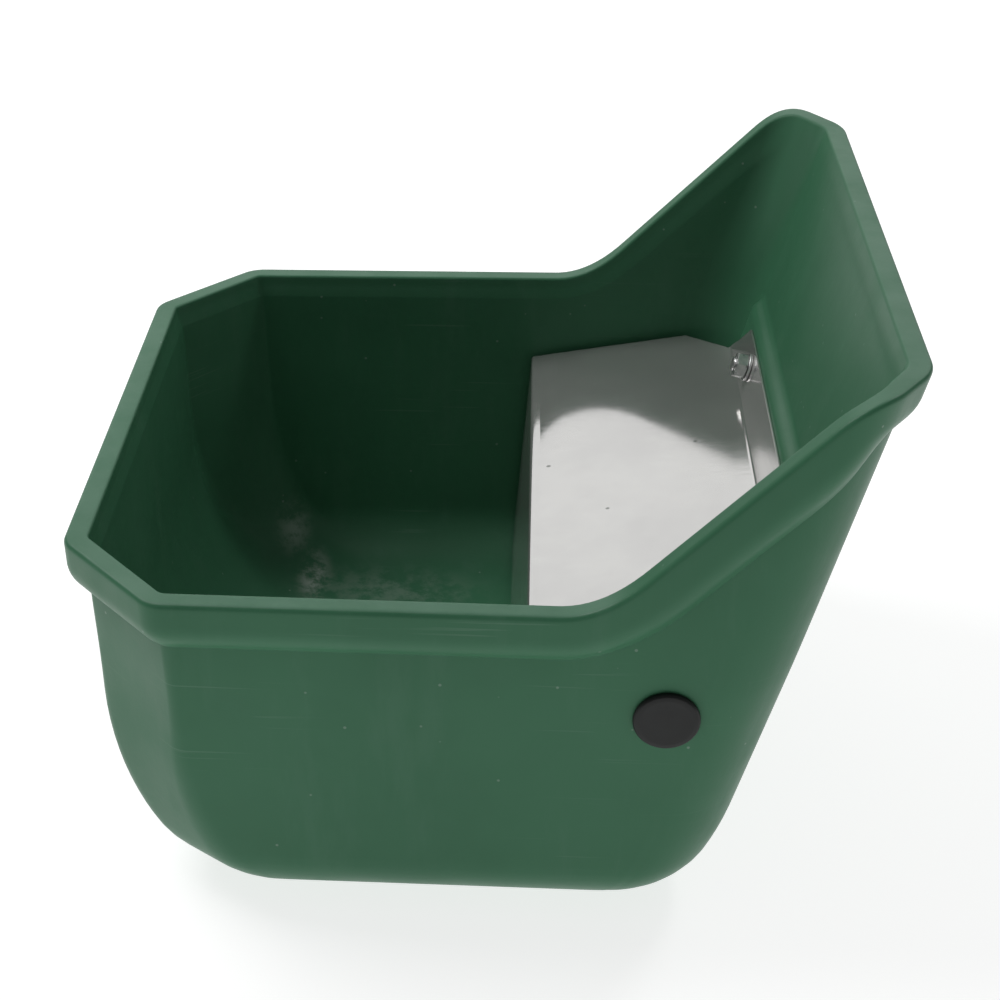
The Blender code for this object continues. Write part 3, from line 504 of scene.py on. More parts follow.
def soft_corners(points, radius, steps=4):
    """Round the inner corners of an open (radius, height) profile."""
    out = [points[0]]
    for before, corner, after in zip(points, points[1:], points[2:]):
        back = Vector(before) - Vector(corner)
        ahead = Vector(after) - Vector(corner)
        reach = min(radius, back.length * 0.45, ahead.length * 0.45)
        start = Vector(corner) + back.normalized() * reach
        end = Vector(corner) + ahead.normalized() * reach
        for step in range(steps + 1):
            along = step / steps
            first = start.lerp(Vector(corner), along)
            second = Vector(corner).lerp(end, along)
            out.append(tuple(first.lerp(second, along)))
    out.append(points[-1])
    return out


def polygon(sides, radius, height):
    turns = [math.tau * k / sides for k in range(sides)]
    return [Vector((radius * math.cos(turn), radius * math.sin(turn), height)) for turn in turns]


def lathe(name, profile, matrix, sides=64, closed=False, soft=0.0003):
    """A turned piece about local Z; an open profile starts and ends on the axis."""
    if soft:
        profile = soft_corners(profile + profile[:2], soft)[1:-1] if closed else soft_corners(profile, soft)
    inner = profile if closed else profile[1:-1]
    loops = [polygon(sides, radius, height) for radius, height in inner]
    return mesh_object(name, skinned(loops, closed), matrix)


def ring_section(bore, radius, top, bottom):
    """Profile of a washer, a gasket or a bush."""
    return [(bore, top), (radius, top), (radius, bottom), (bore, bottom)]


def bar(sides, radius, bottom, top, matrix, name="tool"):
    """A round or many-sided bar, for a drill or a nut's blank."""
    return mesh_object(name, skinned([polygon(sides, radius, height) for height in (bottom, top)]), matrix)


def block(middle, size):
    """The bmesh of a box."""
    shape = bmesh.new()
    place = Matrix.Translation(middle) @ Matrix.Diagonal((*size, 1.0))
    bmesh.ops.create_cube(shape, size=1.0, matrix=place)
    return shape


def threaded_rod(name, radius, pitch, start, end, matrix, sides=40):
    """A rod whose surface follows a real helix, running out at both ends."""
    depth = 0.61 * pitch
    rows = round((end - start) / pitch * 8)
    loops = []
    for row in range(rows + 1):
        height = start + (end - start) * row / rows
        fade = min(1.0, (height - start) / pitch + 0.05, (end - height) / pitch + 0.25)
        loop = []
        for k in range(sides):
            phase = (height / pitch - k / sides) % 1.0
            ridge = abs(2.0 * phase - 1.0)
            reach = radius - depth * (1.0 - ridge) * fade - 0.3 * depth * (1.0 - fade)
            angle = math.tau * k / sides
            loop.append(Vector((reach * math.cos(angle), reach * math.sin(angle), height)))
        loops.append(loop)
    return mesh_object(name, skinned(loops), matrix, 60.0)


def hex_nut(name, across_flats, bore, bottom, top, matrix):
    """A hexagon with turned corner chamfers, a countersunk bore and softened edges."""
    half = across_flats / 2
    corner = half / math.cos(math.pi / 6)
    chamfer = (corner - half) * 0.62
    over = 0.001
    flat = half * 0.94
    wide = corner * 1.02
    nut = bar(6, corner, bottom, top, matrix, name=name)
    outline = [(0.0, top + over), (flat, top + over), (flat, top), (wide, top - chamfer),
               (wide, bottom + chamfer), (flat, bottom), (flat, bottom - over), (0.0, bottom - over)]
    combine(nut, lathe("tool", outline, matrix, soft=0), 'INTERSECT', 20.0)
    sink = bore * 1.10
    hole = [(0.0, top + over), (sink, top + over), (sink, top), (bore, top - (sink - bore)),
            (bore, bottom + (sink - bore)), (sink, bottom), (sink, bottom - over), (0.0, bottom - over)]
    combine(nut, lathe("tool", hole, matrix, 48, soft=0), smooth_below=20.0)
    return bevelled(nut, 0.00022, 22.0)


def register(piece, body, slot, *nodes):
    """Give a piece the material named slot and its body, and hide the CAD nodes that it stands for."""
    piece.data.materials.clear()
    piece.data.materials.append(MATERIALS[slot])
    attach(piece, body)
    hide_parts(*nodes)
    return piece


# ---------------------------------------------------------------- tank
def smoothstep(value, low, high):
    along = min(1.0, max(0.0, (value - low) / (high - low)))
    return along * along * (3 - 2 * along)


def ramp(x, start, half):
    """Zero before start, then a 45 degree line, with a soft bend between them."""
    if x <= start - half:
        return 0.0
    if x >= start + half:
        return x - start
    return (x - start + half) ** 2 / (4 * half)


def rim_line(x, drop):
    """Height of the line that runs parallel to the rim's top, drop below it."""
    later = PARALLEL * drop
    height = CREST_Z - RIM_Z
    climb = ramp(x, RISE_START + later, LOWER_BEND + later)
    level = ramp(x, RISE_START + height + later, max(0.006, UPPER_BEND - later))
    return RIM_Z + climb - level - drop


def wall_offset(wall, z, depth):
    """Distance from the rim's outline to a wall at height z; depth is 0 outside and SKIN inside."""
    below = ramp(wall["at"] - z, 0.0, WALL_TOP_SOFT) if wall is SIDE_WALL else wall["at"] - z
    offset = wall["offset"] + wall["lean"] * below + depth * math.hypot(1.0, wall["lean"])
    reach = min(1.0, max(0.0, wall["rise"] - z) / (wall["rise"] - depth))
    return offset + (wall["run"] - depth) * (1.0 - math.sqrt(1.0 - reach * reach))


def half_width_at(x):
    """Half width of the rim's outline."""
    along = min(1.0, (x - FRONT_CHAMFER[0]) / (RISE_START - FRONT_CHAMFER[0]))
    return FRONT_HALF_WIDTH + (HALF_WIDTH - FRONT_HALF_WIDTH) * along


def rounded(before, corner, after, radius, segments):
    """Points along an arc that rounds a corner."""
    into = (corner - before).normalized()
    out = (after - corner).normalized()
    turn = into.angle_signed(out, 0.0)
    trim = radius * math.tan(abs(turn) / 2)
    start = corner - into * trim
    side = Vector((-into.y, into.x)) if turn < 0 else Vector((into.y, -into.x))
    centre = start + side * radius
    spoke = start - centre
    return [centre + Matrix.Rotation(-turn * step / segments, 2) @ spoke for step in range(segments + 1)]


def corner_growth(z):
    """How far the vertical corners have opened out towards the floor, from 0 to 1."""
    return smoothstep(1.0 - z / CORNER_TOP, 0.0, 1.0)


def half_outline(front, side, rear, inset, growth, rim):
    """Half a section from the middle of the front to the middle of the back.

    front, side and rear are the walls' distances in from the rim's outline, inset is how far the section
    is inside the rim, and rim runs from 1 on the rim to 0 on the wall below it.
    """
    short = CHAMFER_SHRINK * inset
    x4 = LENGTH - rear
    leg_x = (FRONT_CHAMFER[0] - short) * (1.0 - growth) + FRONT_CHAMFER_LOW[0] * growth
    leg_y = (FRONT_CHAMFER[1] - short) * (1.0 - growth) + FRONT_CHAMFER_LOW[1] * growth
    on_wall = CHAMFER_SHRINK * (REAR_ROUND - inset)
    cut_x = (REAR_CHAMFER[0] - short) * rim + on_wall * (1.0 - rim)
    cut_y = (REAR_CHAMFER[1] - short) * rim + on_wall * (1.0 - rim)
    y1 = half_width_at(front + leg_x) - side
    y3 = HALF_WIDTH - side
    nose = Vector((front, 0.0))
    a = Vector((front, y1 - leg_y))
    b = Vector((front + leg_x, y1))
    c = Vector((x4 - cut_x, y3))
    d = Vector((x4, y3 - cut_y))
    tail = Vector((x4, 0.0))
    front_radius = max(LEAST_CORNER, FRONT_CORNER - inset + FRONT_CORNER_GROWTH * growth)
    on_rim = max(LEAST_CORNER, REAR_CORNER - inset)
    rear_radius = on_rim * rim + ROUND_SHARE * (REAR_ROUND - inset) * (1.0 - rim)
    first = rounded(nose, a, b, front_radius, 8)
    second = rounded(a, b, c, front_radius, 8)
    third = rounded(b, c, d, rear_radius, 14)
    fourth = rounded(c, d, tail, rear_radius, 14)
    points = [nose.lerp(first[0], step / 12) for step in range(12)] + first
    points += [first[-1].lerp(second[0], step / 6) for step in range(1, 6)] + second
    split = min(SIDE_SPLIT, third[0].x - SIDE_TAIL)
    stops = [second[-1].x + (split - second[-1].x) * step / 60 for step in range(1, 61)]
    stops += [split + (third[0].x - split) * step / 22 for step in range(1, 22)]
    points += [Vector((x, half_width_at(x) - side)) for x in stops]
    points += third + [third[-1].lerp(fourth[0], step / 3) for step in range(1, 3)] + fourth
    points += [fourth[-1].lerp(tail, step / 30) for step in range(1, 31)]
    return points


def rim_row(inset, drop):
    """A row of the rim: inset from the outline, drop below the rim's top."""
    front = inset + FRONT_WALL["lean"] * drop
    rear = inset + REAR_WALL["lean"] * drop
    flat = half_outline(front, inset, rear, inset, 0.0, 1.0)
    return [Vector((p.x, p.y, rim_line(p.x, drop))) for p in flat]


def wall_outline(z, depth, rim):
    """A wall's section at height z; depth is 0 outside and SKIN inside."""
    return half_outline(wall_offset(FRONT_WALL, z, depth), wall_offset(SIDE_WALL, z, depth),
                        wall_offset(REAR_WALL, z, depth), BAND_PROUD + depth, corner_growth(z), rim)


def wall_ends(depth):
    """Heights at which the wall meets the rim, one for each point of a row."""
    drop = INNER_FOOT if depth else BAND_HEIGHT
    rim = 1.0 if depth else 0.0
    ends = [rim_line(p.x, drop) for p in wall_outline(CREST_Z - drop, depth, rim)]
    for _ in range(5):
        ends = [rim_line(wall_outline(end, depth, rim)[index].x, drop) for index, end in enumerate(ends)]
    return ends


def wall_row(height, rise, depth, ends):
    """A row of a wall: height at the bottom of this stretch, rise from 0 there to 1 under the rim.

    Inside, the rear corners change from the wall's rounds to the rim's chamfers on the way up.
    """
    rim = smoothstep(rise, 0.2, 1.0) if depth else 0.0
    row = []
    for index, end in enumerate(ends):
        z = height + (end - height) * rise
        level = wall_outline(z, depth, rim) if rise or not row else level
        row.append(Vector((*level[index], z)))
    return row


def pushed_in(point, grow):
    """Sink the back wall's recess: grow is how far the slope starts beyond the recess's edge."""
    foot_x = LENGTH - wall_offset(REAR_WALL, BOLT_Z, 0.0)
    along = (point.x - foot_x) * math.sin(REAR_TILT) + (point.z - BOLT_Z) * math.cos(REAR_TILT)
    near = (point.x - foot_x) * math.cos(REAR_TILT) - (point.z - BOLT_Z) * math.sin(REAR_TILT)
    if near < -0.03:
        return point
    up = smoothstep(RECESS_TOP + grow - along, 0.0, RECESS_SLOPE)
    down = smoothstep(along - RECESS_BOTTOM + grow, 0.0, RECESS_SLOPE)
    across = smoothstep(RECESS_HALF_WIDTH + grow - abs(point.y), 0.0, RECESS_SLOPE)
    sink = RECESS_DEPTH * up * down * across
    return Vector((point.x - sink * math.cos(REAR_TILT), point.y, point.z + sink * math.sin(REAR_TILT)))


def edge_arc(radius, steps):
    """(inset, drop) pairs round a quarter turn, from the upright face to the top."""
    turns = [math.pi / 2 * step / steps for step in range(steps + 1)]
    return [(radius * (1 - math.cos(turn)), radius * (1 - math.sin(turn))) for turn in turns]


def tank_rows():
    """Rows from the floor outside, up over the rim and down to the floor inside."""
    low = FRONT_WALL["rise"]
    fillet = [(step / 22) ** 1.9 for step in range(22)]
    middle = [low + (WALL_TOP - low) * step / 14 for step in range(14)]
    upper = sorted([step / 22 for step in range(23)] + [0.27 + 0.014 * step for step in range(11)])
    ends = wall_ends(0.0)
    outside = [wall_row(low * step, 0.0, 0.0, ends) for step in fillet]
    outside += [wall_row(z, 0.0, 0.0, ends) for z in middle]
    outside += [wall_row(WALL_TOP, rise, 0.0, ends) for rise in upper]
    under = [(0.0088, -0.0004), (0.0078, 0.0006), (0.0062, 0.0020), (0.0045, 0.0036), (0.0030, 0.0053),
             (0.0018, 0.0072), (0.0009, 0.0092), (0.0003, 0.0113), (0.0, 0.0135)]
    rim = [rim_row(inset, BAND_HEIGHT - up) for inset, up in under]
    rim += [rim_row(0.0, drop) for drop in (0.0115, 0.0090, 0.0065, 0.0045)]
    rim += [rim_row(inset, drop) for inset, drop in edge_arc(OUTER_EDGE, 7)]
    flat = LIP_WIDTH - OUTER_EDGE - INNER_EDGE
    rim += [rim_row(OUTER_EDGE + flat * step / 4, 0.0) for step in range(1, 4)]
    rim += [rim_row(LIP_WIDTH - inset, drop) for inset, drop in reversed(edge_arc(INNER_EDGE, 6))]
    rim += [rim_row(LIP_WIDTH + 0.0002, 0.0040), rim_row(LIP_WIDTH + 0.0006, 0.0075)]
    ends = wall_ends(SKIN)
    inside = [wall_row(WALL_TOP, rise, SKIN, ends) for rise in reversed(upper)]
    inside += [wall_row(z, 0.0, SKIN, ends) for z in reversed(middle)]
    inside += [wall_row(SKIN + (low - SKIN) * step, 0.0, SKIN, ends) for step in reversed(fillet)]
    return ([[pushed_in(p, 0.0) for p in row] for row in outside] + rim
            + [[pushed_in(p, PAD_GROWTH) for p in row] for row in inside])


def build_tank(holes):
    loops = []
    for row in tank_rows():
        loop = [Vector((p.x - LENGTH / 2, p.y, p.z)) for p in row]
        loop += [Vector((p.x, -p.y, p.z)) for p in reversed(loop[1:-1])]
        loops.append(loop)
    made = mesh_object("tank_shell", skinned(loops), None, 50.0)
    for matrix, radius in holes:
        combine(made, bar(64, radius, -0.016, 0.010, matrix), smooth_below=50.0)
    return register(made, "trough", "green_polyethylene", "tank")


# ---------------------------------------------------------------- cover
def along_back(distance, depth):
    """Point of the back wall's section: distance up from the bolt line, depth inside the outer face."""
    foot_x = LENGTH - wall_offset(REAR_WALL, BOLT_Z, 0.0)
    return Vector((foot_x + distance * math.sin(REAR_TILT) - depth * math.cos(REAR_TILT),
                   BOLT_Z + distance * math.cos(REAR_TILT) + depth * math.sin(REAR_TILT)))


def cover_width_low(z):
    """Half width of the front panel, which follows the side walls and their floor fillet."""
    inside = half_width_at(COVER_FRONT) - wall_offset(SIDE_WALL, z, SKIN)
    at_bend = half_width_at(COVER_FRONT) - wall_offset(SIDE_WALL, COVER_FRONT_Z, SKIN)
    return COVER_HALF_WIDTH - (at_bend - inside)


def build_cover(holes):
    """One bent sheet: a tall front panel, a sloping top and an upturned flange."""
    depth = SKIN + RECESS_DEPTH + GAP + SHEET
    foot = Vector((COVER_FOOT, COVER_FOOT_Z))
    front = Vector((COVER_FRONT, COVER_FRONT_Z))
    rear = along_back(FLANGE_FOOT, depth)
    top = along_back(FLANGE_TOP, depth)
    stations = []
    for step in range(15):
        height = COVER_FOOT_Z + (COVER_STRAIGHT_Z - COVER_FOOT_Z) * step / 14
        along = (height - foot.y) / (front.y - foot.y)
        stations.append((foot.lerp(front, along), cover_width_low(height)))
    straight = stations[-1][0]
    narrower = COVER_HALF_WIDTH - cover_width_low(COVER_STRAIGHT_Z)
    for step in range(1, 8):
        along = step / 8.4
        stations.append((straight.lerp(front, along), COVER_HALF_WIDTH - narrower * (1 - along)))
    stations += [(p, COVER_HALF_WIDTH) for p in rounded(foot, front, rear, SHEET_BEND, 8)]
    down = Vector((0.0, -1.0))
    slope = (rear - front).normalized()
    for shift, dent in ((-0.0009, 0.0), (-0.0002, 0.00022), (0.0002, 0.00022), (0.0009, 0.0)):
        stations.append((front + slope * (BRAKE_LINE + shift) + down * dent, COVER_HALF_WIDTH))
    chamfer_at = (COVER_CHAMFER_X - front.x) / (rear.x - front.x)
    start = BRAKE_LINE / (rear - front).length + 0.02
    for step in range(1, 9):
        stations.append((front.lerp(rear, start + (chamfer_at - start) * step / 8), COVER_HALF_WIDTH))
    for step in range(1, 4):
        along = step / 4
        stations.append((front.lerp(rear, chamfer_at + (0.97 - chamfer_at) * along),
                         COVER_HALF_WIDTH + (FLANGE_HALF_FOOT - COVER_HALF_WIDTH) * along * 0.93))
    stations += [(p, FLANGE_HALF_FOOT) for p in rounded(front, rear, top, SHEET_BEND, 8)]
    stations += [(rear.lerp(top, along), FLANGE_HALF_FOOT + (FLANGE_HALF_TOP - FLANGE_HALF_FOOT) * along)
                 for along in (0.4, 0.7, 1.0)]
    shape = bmesh.new()
    columns = 24
    rows = []
    for point, half in stations:
        rows.append([shape.verts.new((point.x - LENGTH / 2, half * (2 * k / columns - 1), point.y))
                     for k in range(columns + 1)])
    for lower, upper in zip(rows, rows[1:]):
        for k in range(columns):
            shape.faces.new((lower[k], upper[k], upper[k + 1], lower[k + 1]))
    made = mesh_object("cover_sheet", shape, None, 60.0)
    facing = sum((face.normal for face in made.data.polygons), Vector()).normalized()
    thick = made.modifiers.new("sheet", 'SOLIDIFY')
    thick.thickness = SHEET
    thick.offset = -1.0 if facing.z > 0 else 1.0
    thick.use_even_offset = True
    for matrix, radius in holes:
        combine(made, bar(48, radius, -0.016, 0.001, matrix), smooth_below=50.0)
    bevelled(made, 0.00022, 50.0)
    return register(made, "trough", "satin_stainless", "cover")


# ---------------------------------------------------------------- fixings and plugs
def build_fixing(side, matrix):
    """Cup head bolt from behind with its washer, and the washer and nut on the cover's flange."""
    floor = -RECESS_DEPTH
    face = -(SKIN + RECESS_DEPTH + GAP + SHEET)
    nut_top = face - GAP - WASHER_T - GAP
    end = nut_top - NUT_T - BOLT_END
    head = floor + GAP + WASHER_T + GAP
    dome = [(CUP_R * math.sin(turn), head + CUP_EDGE + CUP_CROWN * math.cos(turn))
            for turn in [math.pi / 2 * step / 10 for step in range(11)]]
    shank = [(CUP_R, head), (BOLT_R, head), (BOLT_R, floor), (BOLT_R, face),
             (BOLT_R - 0.0007, face - 0.001), (0.0, face - 0.001)]
    bolt = lathe("bolt_" + side, dome + shank, matrix, soft=0)
    thread = threaded_rod("tool", BOLT_R, BOLT_PITCH, end, face - 0.0005, matrix)
    combine(bolt, thread, 'UNION', 60.0)
    register(bolt, "trough", "bright_zinc", "cover_bolt_" + side)
    for name, radius, top in (("cover_back_washer_", BACK_WASHER_R, floor + GAP + WASHER_T),
                              ("cover_washer_", WASHER_R, face - GAP)):
        section = ring_section(WASHER_BORE, radius, top, top - WASHER_T)
        ring = lathe(name + side + "_fine", section, matrix, closed=True, soft=0.0004)
        register(ring, "trough", "bright_zinc", name + side)
    nut = hex_nut("nut_" + side, NUT_AF, NUT_BORE, nut_top - NUT_T, nut_top, matrix)
    register(nut, "trough", "bright_zinc", "cover_nut_" + side)


def build_plug(name, body, matrix):
    """A push-in blanking plug: flat head with a soft edge, a hollow stem with two grip ribs."""
    under = GAP
    head = under + PLUG_HEAD_T
    wall = PLUG_STEM_R - 0.0030
    profile = [(0.0, head - 0.00025), (PLUG_HEAD_R * 0.5, head - 0.0002), (PLUG_HEAD_R - 0.0030, head),
               (PLUG_HEAD_R - 0.0009, head - 0.0004), (PLUG_HEAD_R, head - 0.0016), (PLUG_HEAD_R, under),
               (PLUG_STEM_R, under), (PLUG_STEM_R, -0.0062), (PLUG_STEM_R + 0.0002, -0.0070),
               (PLUG_STEM_R, -0.0078), (PLUG_STEM_R - 0.0002, -0.0092), (PLUG_STEM_R + 0.0001, -0.0100),
               (PLUG_STEM_R - 0.0003, -0.0110), (PLUG_STEM_R - 0.0014, -PLUG_STEM), (wall, -PLUG_STEM),
               (wall, -0.0010), (0.0, -0.0010)]
    plug = lathe(name + "_turned", profile, matrix, 72, soft=0.0005)
    return register(plug, body, "black_plastic", name)


# ---------------------------------------------------------------- float valve
def build_valve(matrix):
    inner = -SKIN
    gasket_end = inner - GAP - GASKET_T
    flange_top = gasket_end - GAP
    flange_end = flange_top - VALVE_FLANGE_T
    core = SHANK_R - 0.0009
    neck = SHANK_R - 0.0002
    profile = [(core, SHANK_END), (core, flange_top + 0.004), (neck, flange_top + 0.003), (neck, flange_top),
               (VALVE_FLANGE_R, flange_top), (VALVE_FLANGE_R, flange_end), (VALVE_R, flange_end),
               (VALVE_R, FORK_END), (VALVE_BORE_R, FORK_END), (VALVE_BORE_R, CHAMBER_END),
               (INLET_R, CHAMBER_END), (INLET_R, SHANK_END)]
    body = lathe("valve_body_turned", profile, matrix, closed=True)
    thread = threaded_rod("tool", SHANK_R, SHANK_PITCH, flange_top + 0.003, SHANK_END - 0.0004, matrix, 56)
    combine(thread, bar(48, SHANK_R - 0.0016, -0.02, 0.04, matrix))
    combine(body, thread, 'UNION', 60.0)
    slot = block((0, 0, (FORK_START + FORK_END) / 2 - 0.002),
                 (LEVER_T + 0.0012, 0.04, FORK_START - FORK_END + 0.004))
    combine(body, mesh_object("tool", slot, matrix), smooth_below=40.0)
    downward = matrix @ Matrix.Translation((0, 0, OUTLET_S)) @ Matrix.Rotation(QUARTER, 4, 'X')
    combine(body, bar(32, OUTLET_R, -0.02, 0.0, downward), smooth_below=40.0)
    across = matrix @ Matrix.Translation((0, PIVOT_DROP, PIVOT_S)) @ Matrix.Rotation(QUARTER, 4, 'Y')
    combine(body, bar(32, PIN_R + GAP, -0.02, 0.02, across), smooth_below=40.0)
    register(body, "trough", "brass", "valve_body")

    bore = SHANK_R + SHANK_CLEARANCE
    section = ring_section(bore, GASKET_R, inner - GAP, gasket_end)
    gasket = lathe("valve_gasket_ring", section, matrix, closed=True, soft=0.0008)
    register(gasket, "trough", "black_rubber", "valve_gasket")
    section = ring_section(bore, GASKET_R, GAP + VALVE_WASHER_T, GAP)
    washer = lathe("valve_washer_ring", section, matrix, closed=True, soft=0.0005)
    register(washer, "trough", "white_nylon", "valve_washer")
    locknut = GAP + VALVE_WASHER_T + GAP
    nut = hex_nut("valve_locknut_hex", LOCKNUT_AF, SHANK_R + 0.0003, locknut, locknut + LOCKNUT_T, matrix)
    register(nut, "trough", "brass", "valve_locknut")
    section = ring_section(SEAT_BORE_R, VALVE_BORE_R - GAP, CHAMBER_END - GAP, SEAT_FACE)
    seat = lathe("valve_seat_bush", section, matrix, closed=True)
    register(seat, "trough", "white_nylon", "valve_seat")
    pin = lathe("pivot_pin_turned", [(0.0, 0.0148), (0.0032, 0.0148), (0.0032, PIN_HEAD), (PIN_R, PIN_HEAD),
                                     (PIN_R, -0.0152), (0.0, -0.0152)], across, 40)
    register(pin, "trough", "satin_stainless", "pivot_pin")
    section = ring_section(PIN_R + GAP, 0.0040, -PIN_HEAD, -0.0137)
    clip = lathe("pivot_clip_ring", section, across, 40, closed=True, soft=0.0001)
    register(clip, "trough", "bright_zinc", "pivot_clip")


def build_plunger(matrix):
    plunger = lathe("plunger_turned",
                    [(0.0, PLUNGER_FACE), (0.0070, PLUNGER_FACE), (0.0070, PLUNGER_FACE - 0.0040),
                     (0.0064, PLUNGER_FACE - 0.0044), (0.0064, PLUNGER_FACE - 0.0058),
                     (0.0070, PLUNGER_FACE - 0.0062), (0.0070, PLUNGER_FACE - 0.0158),
                     (0.0030, PLUNGER_FACE - 0.0158), (0.0030, PLUNGER_TAIL), (0.0, PLUNGER_TAIL)],
                    matrix, 48)
    register(plunger, "valve_plunger", "white_nylon", "plunger")
    seal = lathe("plunger_seal_disc", [(0.0, PLUNGER_FACE + 0.0033), (0.0058, PLUNGER_FACE + 0.0033),
                                       (0.0058, PLUNGER_FACE + GAP), (0.0, PLUNGER_FACE + GAP)], matrix, 48)
    register(seal, "valve_plunger", "black_rubber", "plunger_seal")


# ---------------------------------------------------------------- float arm
def build_rod(matrix):
    """The cranked rod."""
    curve = bpy.data.curves.new("float_rod_bent", 'CURVE')
    curve.dimensions = '3D'
    curve.bevel_depth = ROD_R
    curve.bevel_resolution = 6
    curve.use_fill_caps = True
    points = [(ROD_START, 0.0), (CRANK_FROM - 0.004, 0.0)]
    for step in range(25):
        along = step / 24
        points.append((CRANK_FROM + (CRANK_TO - CRANK_FROM) * along, CRANK * smoothstep(along, 0.0, 1.0)))
    points += [(LUG_X - 0.012, CRANK), (ROD_END, CRANK)]
    line = curve.splines.new('POLY')
    line.points.add(len(points) - 1)
    for target, (x, z) in zip(line.points, points):
        target.co = (x, 0.0, z, 1.0)
    rod = bpy.data.objects.new("float_rod_bent", curve)
    bpy.context.scene.collection.objects.link(rod)
    rod.matrix_world = matrix
    register(rod, "float_arm", "satin_stainless", "float_rod")


def build_float(matrix):
    """A blow-moulded block with rounded edges, a mould line and a lug for the rod."""
    length, height, width = FLOAT_SIZE
    half = Vector((length / 2, height / 2, width / 2))
    centre = Vector((LUG_X, FLOAT_TOP - height / 2, CRANK))
    shape = bmesh.new()
    bmesh.ops.create_cube(shape, size=2.0)
    bmesh.ops.subdivide_edges(shape, edges=shape.edges, cuts=15, use_grid_fill=True)
    round_off = 0.010
    for vert in shape.verts:
        p = Vector([vert.co[i] * half[i] for i in range(3)])
        core = Vector([max(-(half[i] - round_off), min(half[i] - round_off, p[i])) for i in range(3)])
        away = p - core
        out = core + away.normalized() * round_off if away.length > 1e-9 else p
        seam = 0.0004 * math.exp(-(out.y / 0.0008) ** 2)
        flat = Vector((out.x, 0.0, out.z))
        out += flat.normalized() * seam if flat.length > 1e-6 and abs(out.y) < 0.004 else Vector()
        vert.co = out + centre
    made = mesh_object("float_block", shape, matrix, 60.0)
    lug = block((LUG_X, FLOAT_TOP + LUG_MIDDLE, CRANK), LUG_SIZE)
    bmesh.ops.bevel(lug, geom=lug.edges, offset=0.0012, segments=3, affect='EDGES', profile=0.5)
    combine(made, mesh_object("tool", lug, matrix), 'UNION', 50.0)
    along_rod = matrix @ Matrix.Translation((0, 0, CRANK)) @ Matrix.Rotation(QUARTER, 4, 'Y')
    combine(made, bar(32, ROD_R + GAP, LUG_X - 0.02, LUG_X + 0.02, along_rod), smooth_below=50.0)
    register(made, "float_arm", "float_polyethylene", "float")
    face = LUG_SIZE[0] / 2 + GAP
    for name, bottom in (("float_nut_inner", LUG_X - face - SMALL_NUT_T),
                         ("float_nut_outer", LUG_X + face)):
        nut = hex_nut(name + "_hex", SMALL_NUT_AF, ROD_R + GAP, bottom, bottom + SMALL_NUT_T, along_rod)
        register(nut, "float_arm", "bright_zinc", name)
    along_arm = matrix @ Matrix.Rotation(QUARTER, 4, 'Y')
    start = BOSS_END + GAP
    nut = hex_nut("rod_locknut_hex", SMALL_NUT_AF, ROD_R + GAP, start, start + SMALL_NUT_T, along_arm)
    register(nut, "float_arm", "bright_zinc", "rod_locknut")


def dress_lever():
    """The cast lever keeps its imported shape, with softened edges and a brass finish."""
    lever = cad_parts["lever"]
    lever.data.materials.clear()
    lever.data.materials.append(MATERIALS["brass"])
    bevelled(lever, 0.0003, 40.0)


# ---------------------------------------------------------------- assembly
def placed(place, turn):
    return Matrix.Translation(place) @ turn.to_4x4()


def back_point(y, z):
    return Vector((LENGTH / 2 - wall_offset(REAR_WALL, z, 0.0), y, z))


side_wall_y = HALF_WIDTH - wall_offset(SIDE_WALL, PORT_Z, 0.0)
outward_far = Matrix.Rotation(-(math.pi / 2 + SIDE_TILT), 3, 'X')
outward_near = Matrix.Rotation(math.pi / 2 + SIDE_TILT, 3, 'X')
outward_back = Matrix.Rotation(math.pi / 2 + REAR_TILT, 3, 'Y')
valve_place = placed(Vector((PORT_X - LENGTH / 2, side_wall_y, PORT_Z)), outward_far)
side_plug_place = placed(Vector((PORT_X - LENGTH / 2, -side_wall_y, PORT_Z)), outward_near)
rear_plug_place = placed(back_point(REAR_PLUG_Y, REAR_PLUG_Z), outward_back)
bolt_places = {side: placed(back_point(y, BOLT_Z), outward_back)
               for side, y in (("left", BOLT_Y), ("right", -BOLT_Y))}
bolt_holes = [(matrix, BOLT_R + BOLT_CLEARANCE) for matrix in bolt_places.values()]

build_tank(bolt_holes + [(valve_place, SHANK_R + SHANK_CLEARANCE), (side_plug_place, PLUG_HOLE_R),
                         (rear_plug_place, PLUG_HOLE_R)])
build_cover(bolt_holes)
for side, matrix in bolt_places.items():
    build_fixing(side, matrix)
build_plug("side_plug", "side_blanking_plug", side_plug_place)
build_plug("rear_plug", "rear_blanking_plug", rear_plug_place)
build_valve(valve_place)
build_plunger(valve_place)

swing = Matrix(((0, 0, -1), (0, -1, 0), (-1, 0, 0)))
pivot = valve_place @ Vector((0, PIVOT_DROP, PIVOT_S))
arm_place = placed(pivot, outward_far @ swing @ Matrix.Rotation(-HANG_ANGLE, 3, 'Z'))
dress_lever()
build_rod(arm_place)
build_float(arm_place)


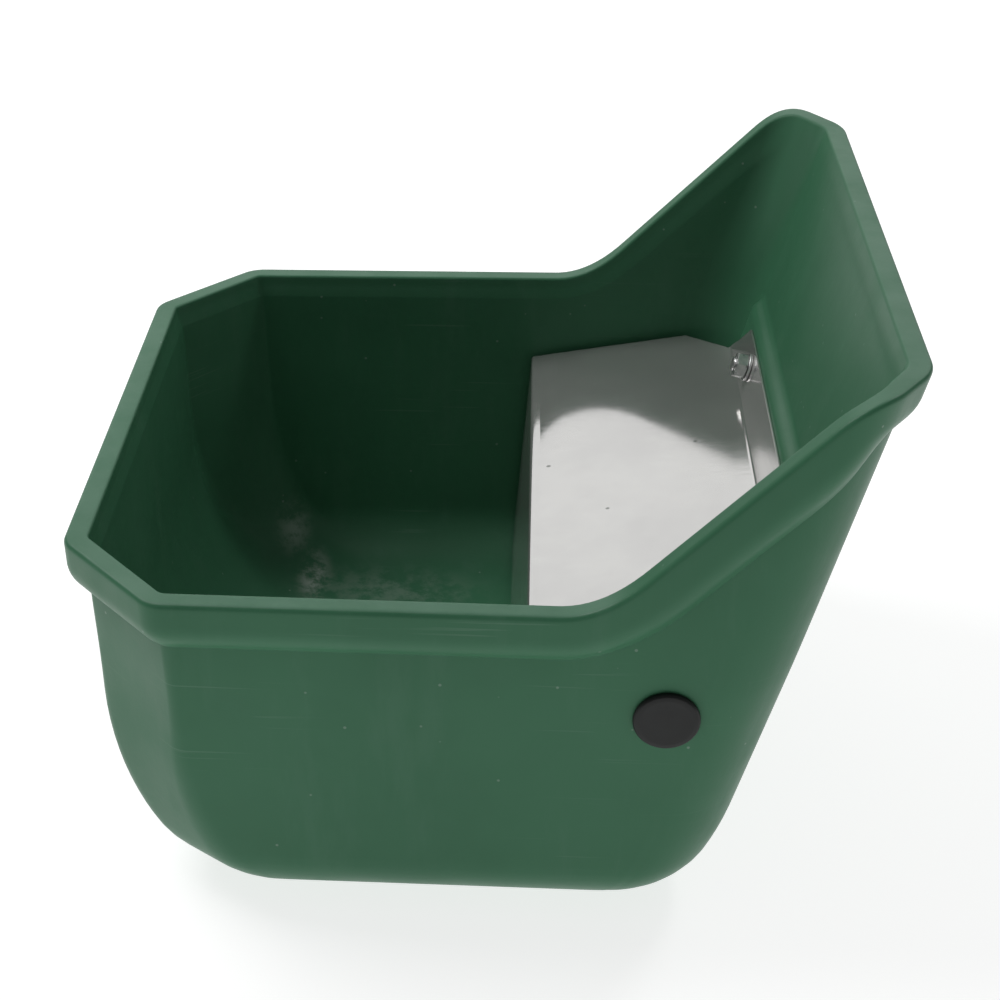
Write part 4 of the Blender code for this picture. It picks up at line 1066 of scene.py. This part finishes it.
# ---------------------------------------------------------------- studio
def build_floor():
    """A wide pale sheet under the tank."""
    shape = bmesh.new()
    bmesh.ops.create_circle(shape, cap_ends=True, segments=96, radius=9.0)
    floor = mesh_object("studio_floor", shape)
    floor.location.z = -0.0004
    s = Surface("studio_floor", Roughness=0.9)
    s.shader.inputs["Specular IOR Level"].default_value = 0.1
    s.shader.inputs["Emission Color"].default_value = (1.0, 1.0, 1.0, 1.0)
    s.shader.inputs["Emission Strength"].default_value = FLOOR_GLOW
    floor.data.materials.append(s.finish(s.blend(s.noise(3.0), (0.49, 0.49, 0.49), (0.51, 0.51, 0.51))))


def build_light(name, place, size, power):
    light = bpy.data.lights.new(name, 'AREA')
    light.shape = 'RECTANGLE'
    light.size, light.size_y = size
    light.energy = power
    made = bpy.data.objects.new(name, light)
    bpy.context.scene.collection.objects.link(made)
    made.location = place
    made.rotation_euler = (LIGHT_TARGET - Vector(place)).to_track_quat('-Z', 'Y').to_euler()


def build_camera():
    forward = Vector((-math.sin(CAMERA_HEADING) * math.cos(CAMERA_PITCH),
                      math.cos(CAMERA_HEADING) * math.cos(CAMERA_PITCH), -math.sin(CAMERA_PITCH)))
    level = Vector((math.cos(CAMERA_HEADING), math.sin(CAMERA_HEADING), 0.0))
    upright = level.cross(forward)
    right = math.cos(CAMERA_ROLL) * level + math.sin(CAMERA_ROLL) * upright
    up = math.cos(CAMERA_ROLL) * upright - math.sin(CAMERA_ROLL) * level
    camera = bpy.data.cameras.new("camera")
    camera.lens = CAMERA_LENS
    camera.sensor_width = 36.0
    made = bpy.data.objects.new("camera", camera)
    bpy.context.scene.collection.objects.link(made)
    turn = Matrix((right, up, -forward)).transposed()
    made.matrix_world = placed(CAMERA_PLACE, turn)
    bpy.context.scene.camera = made


def build_world():
    world = bpy.data.worlds.new("studio")
    world.use_nodes = True
    background = world.node_tree.nodes["Background"]
    background.inputs["Color"].default_value = (1.0, 1.0, 1.0, 1.0)
    background.inputs["Strength"].default_value = WORLD_GLOW
    bpy.context.scene.world = world
    bpy.context.scene.view_settings.view_transform = 'Standard'


build_floor()
build_light("key", (-1.15, 0.40, 1.95), (1.2, 1.2), 26.0)
build_light("backdrop", (0.0, 3.0, 1.85), (5.2, 2.4), 29.0)
build_light("glint", (1.05, 0.78, 1.75), (0.35, 0.35), 6.5)
build_world()
build_camera()
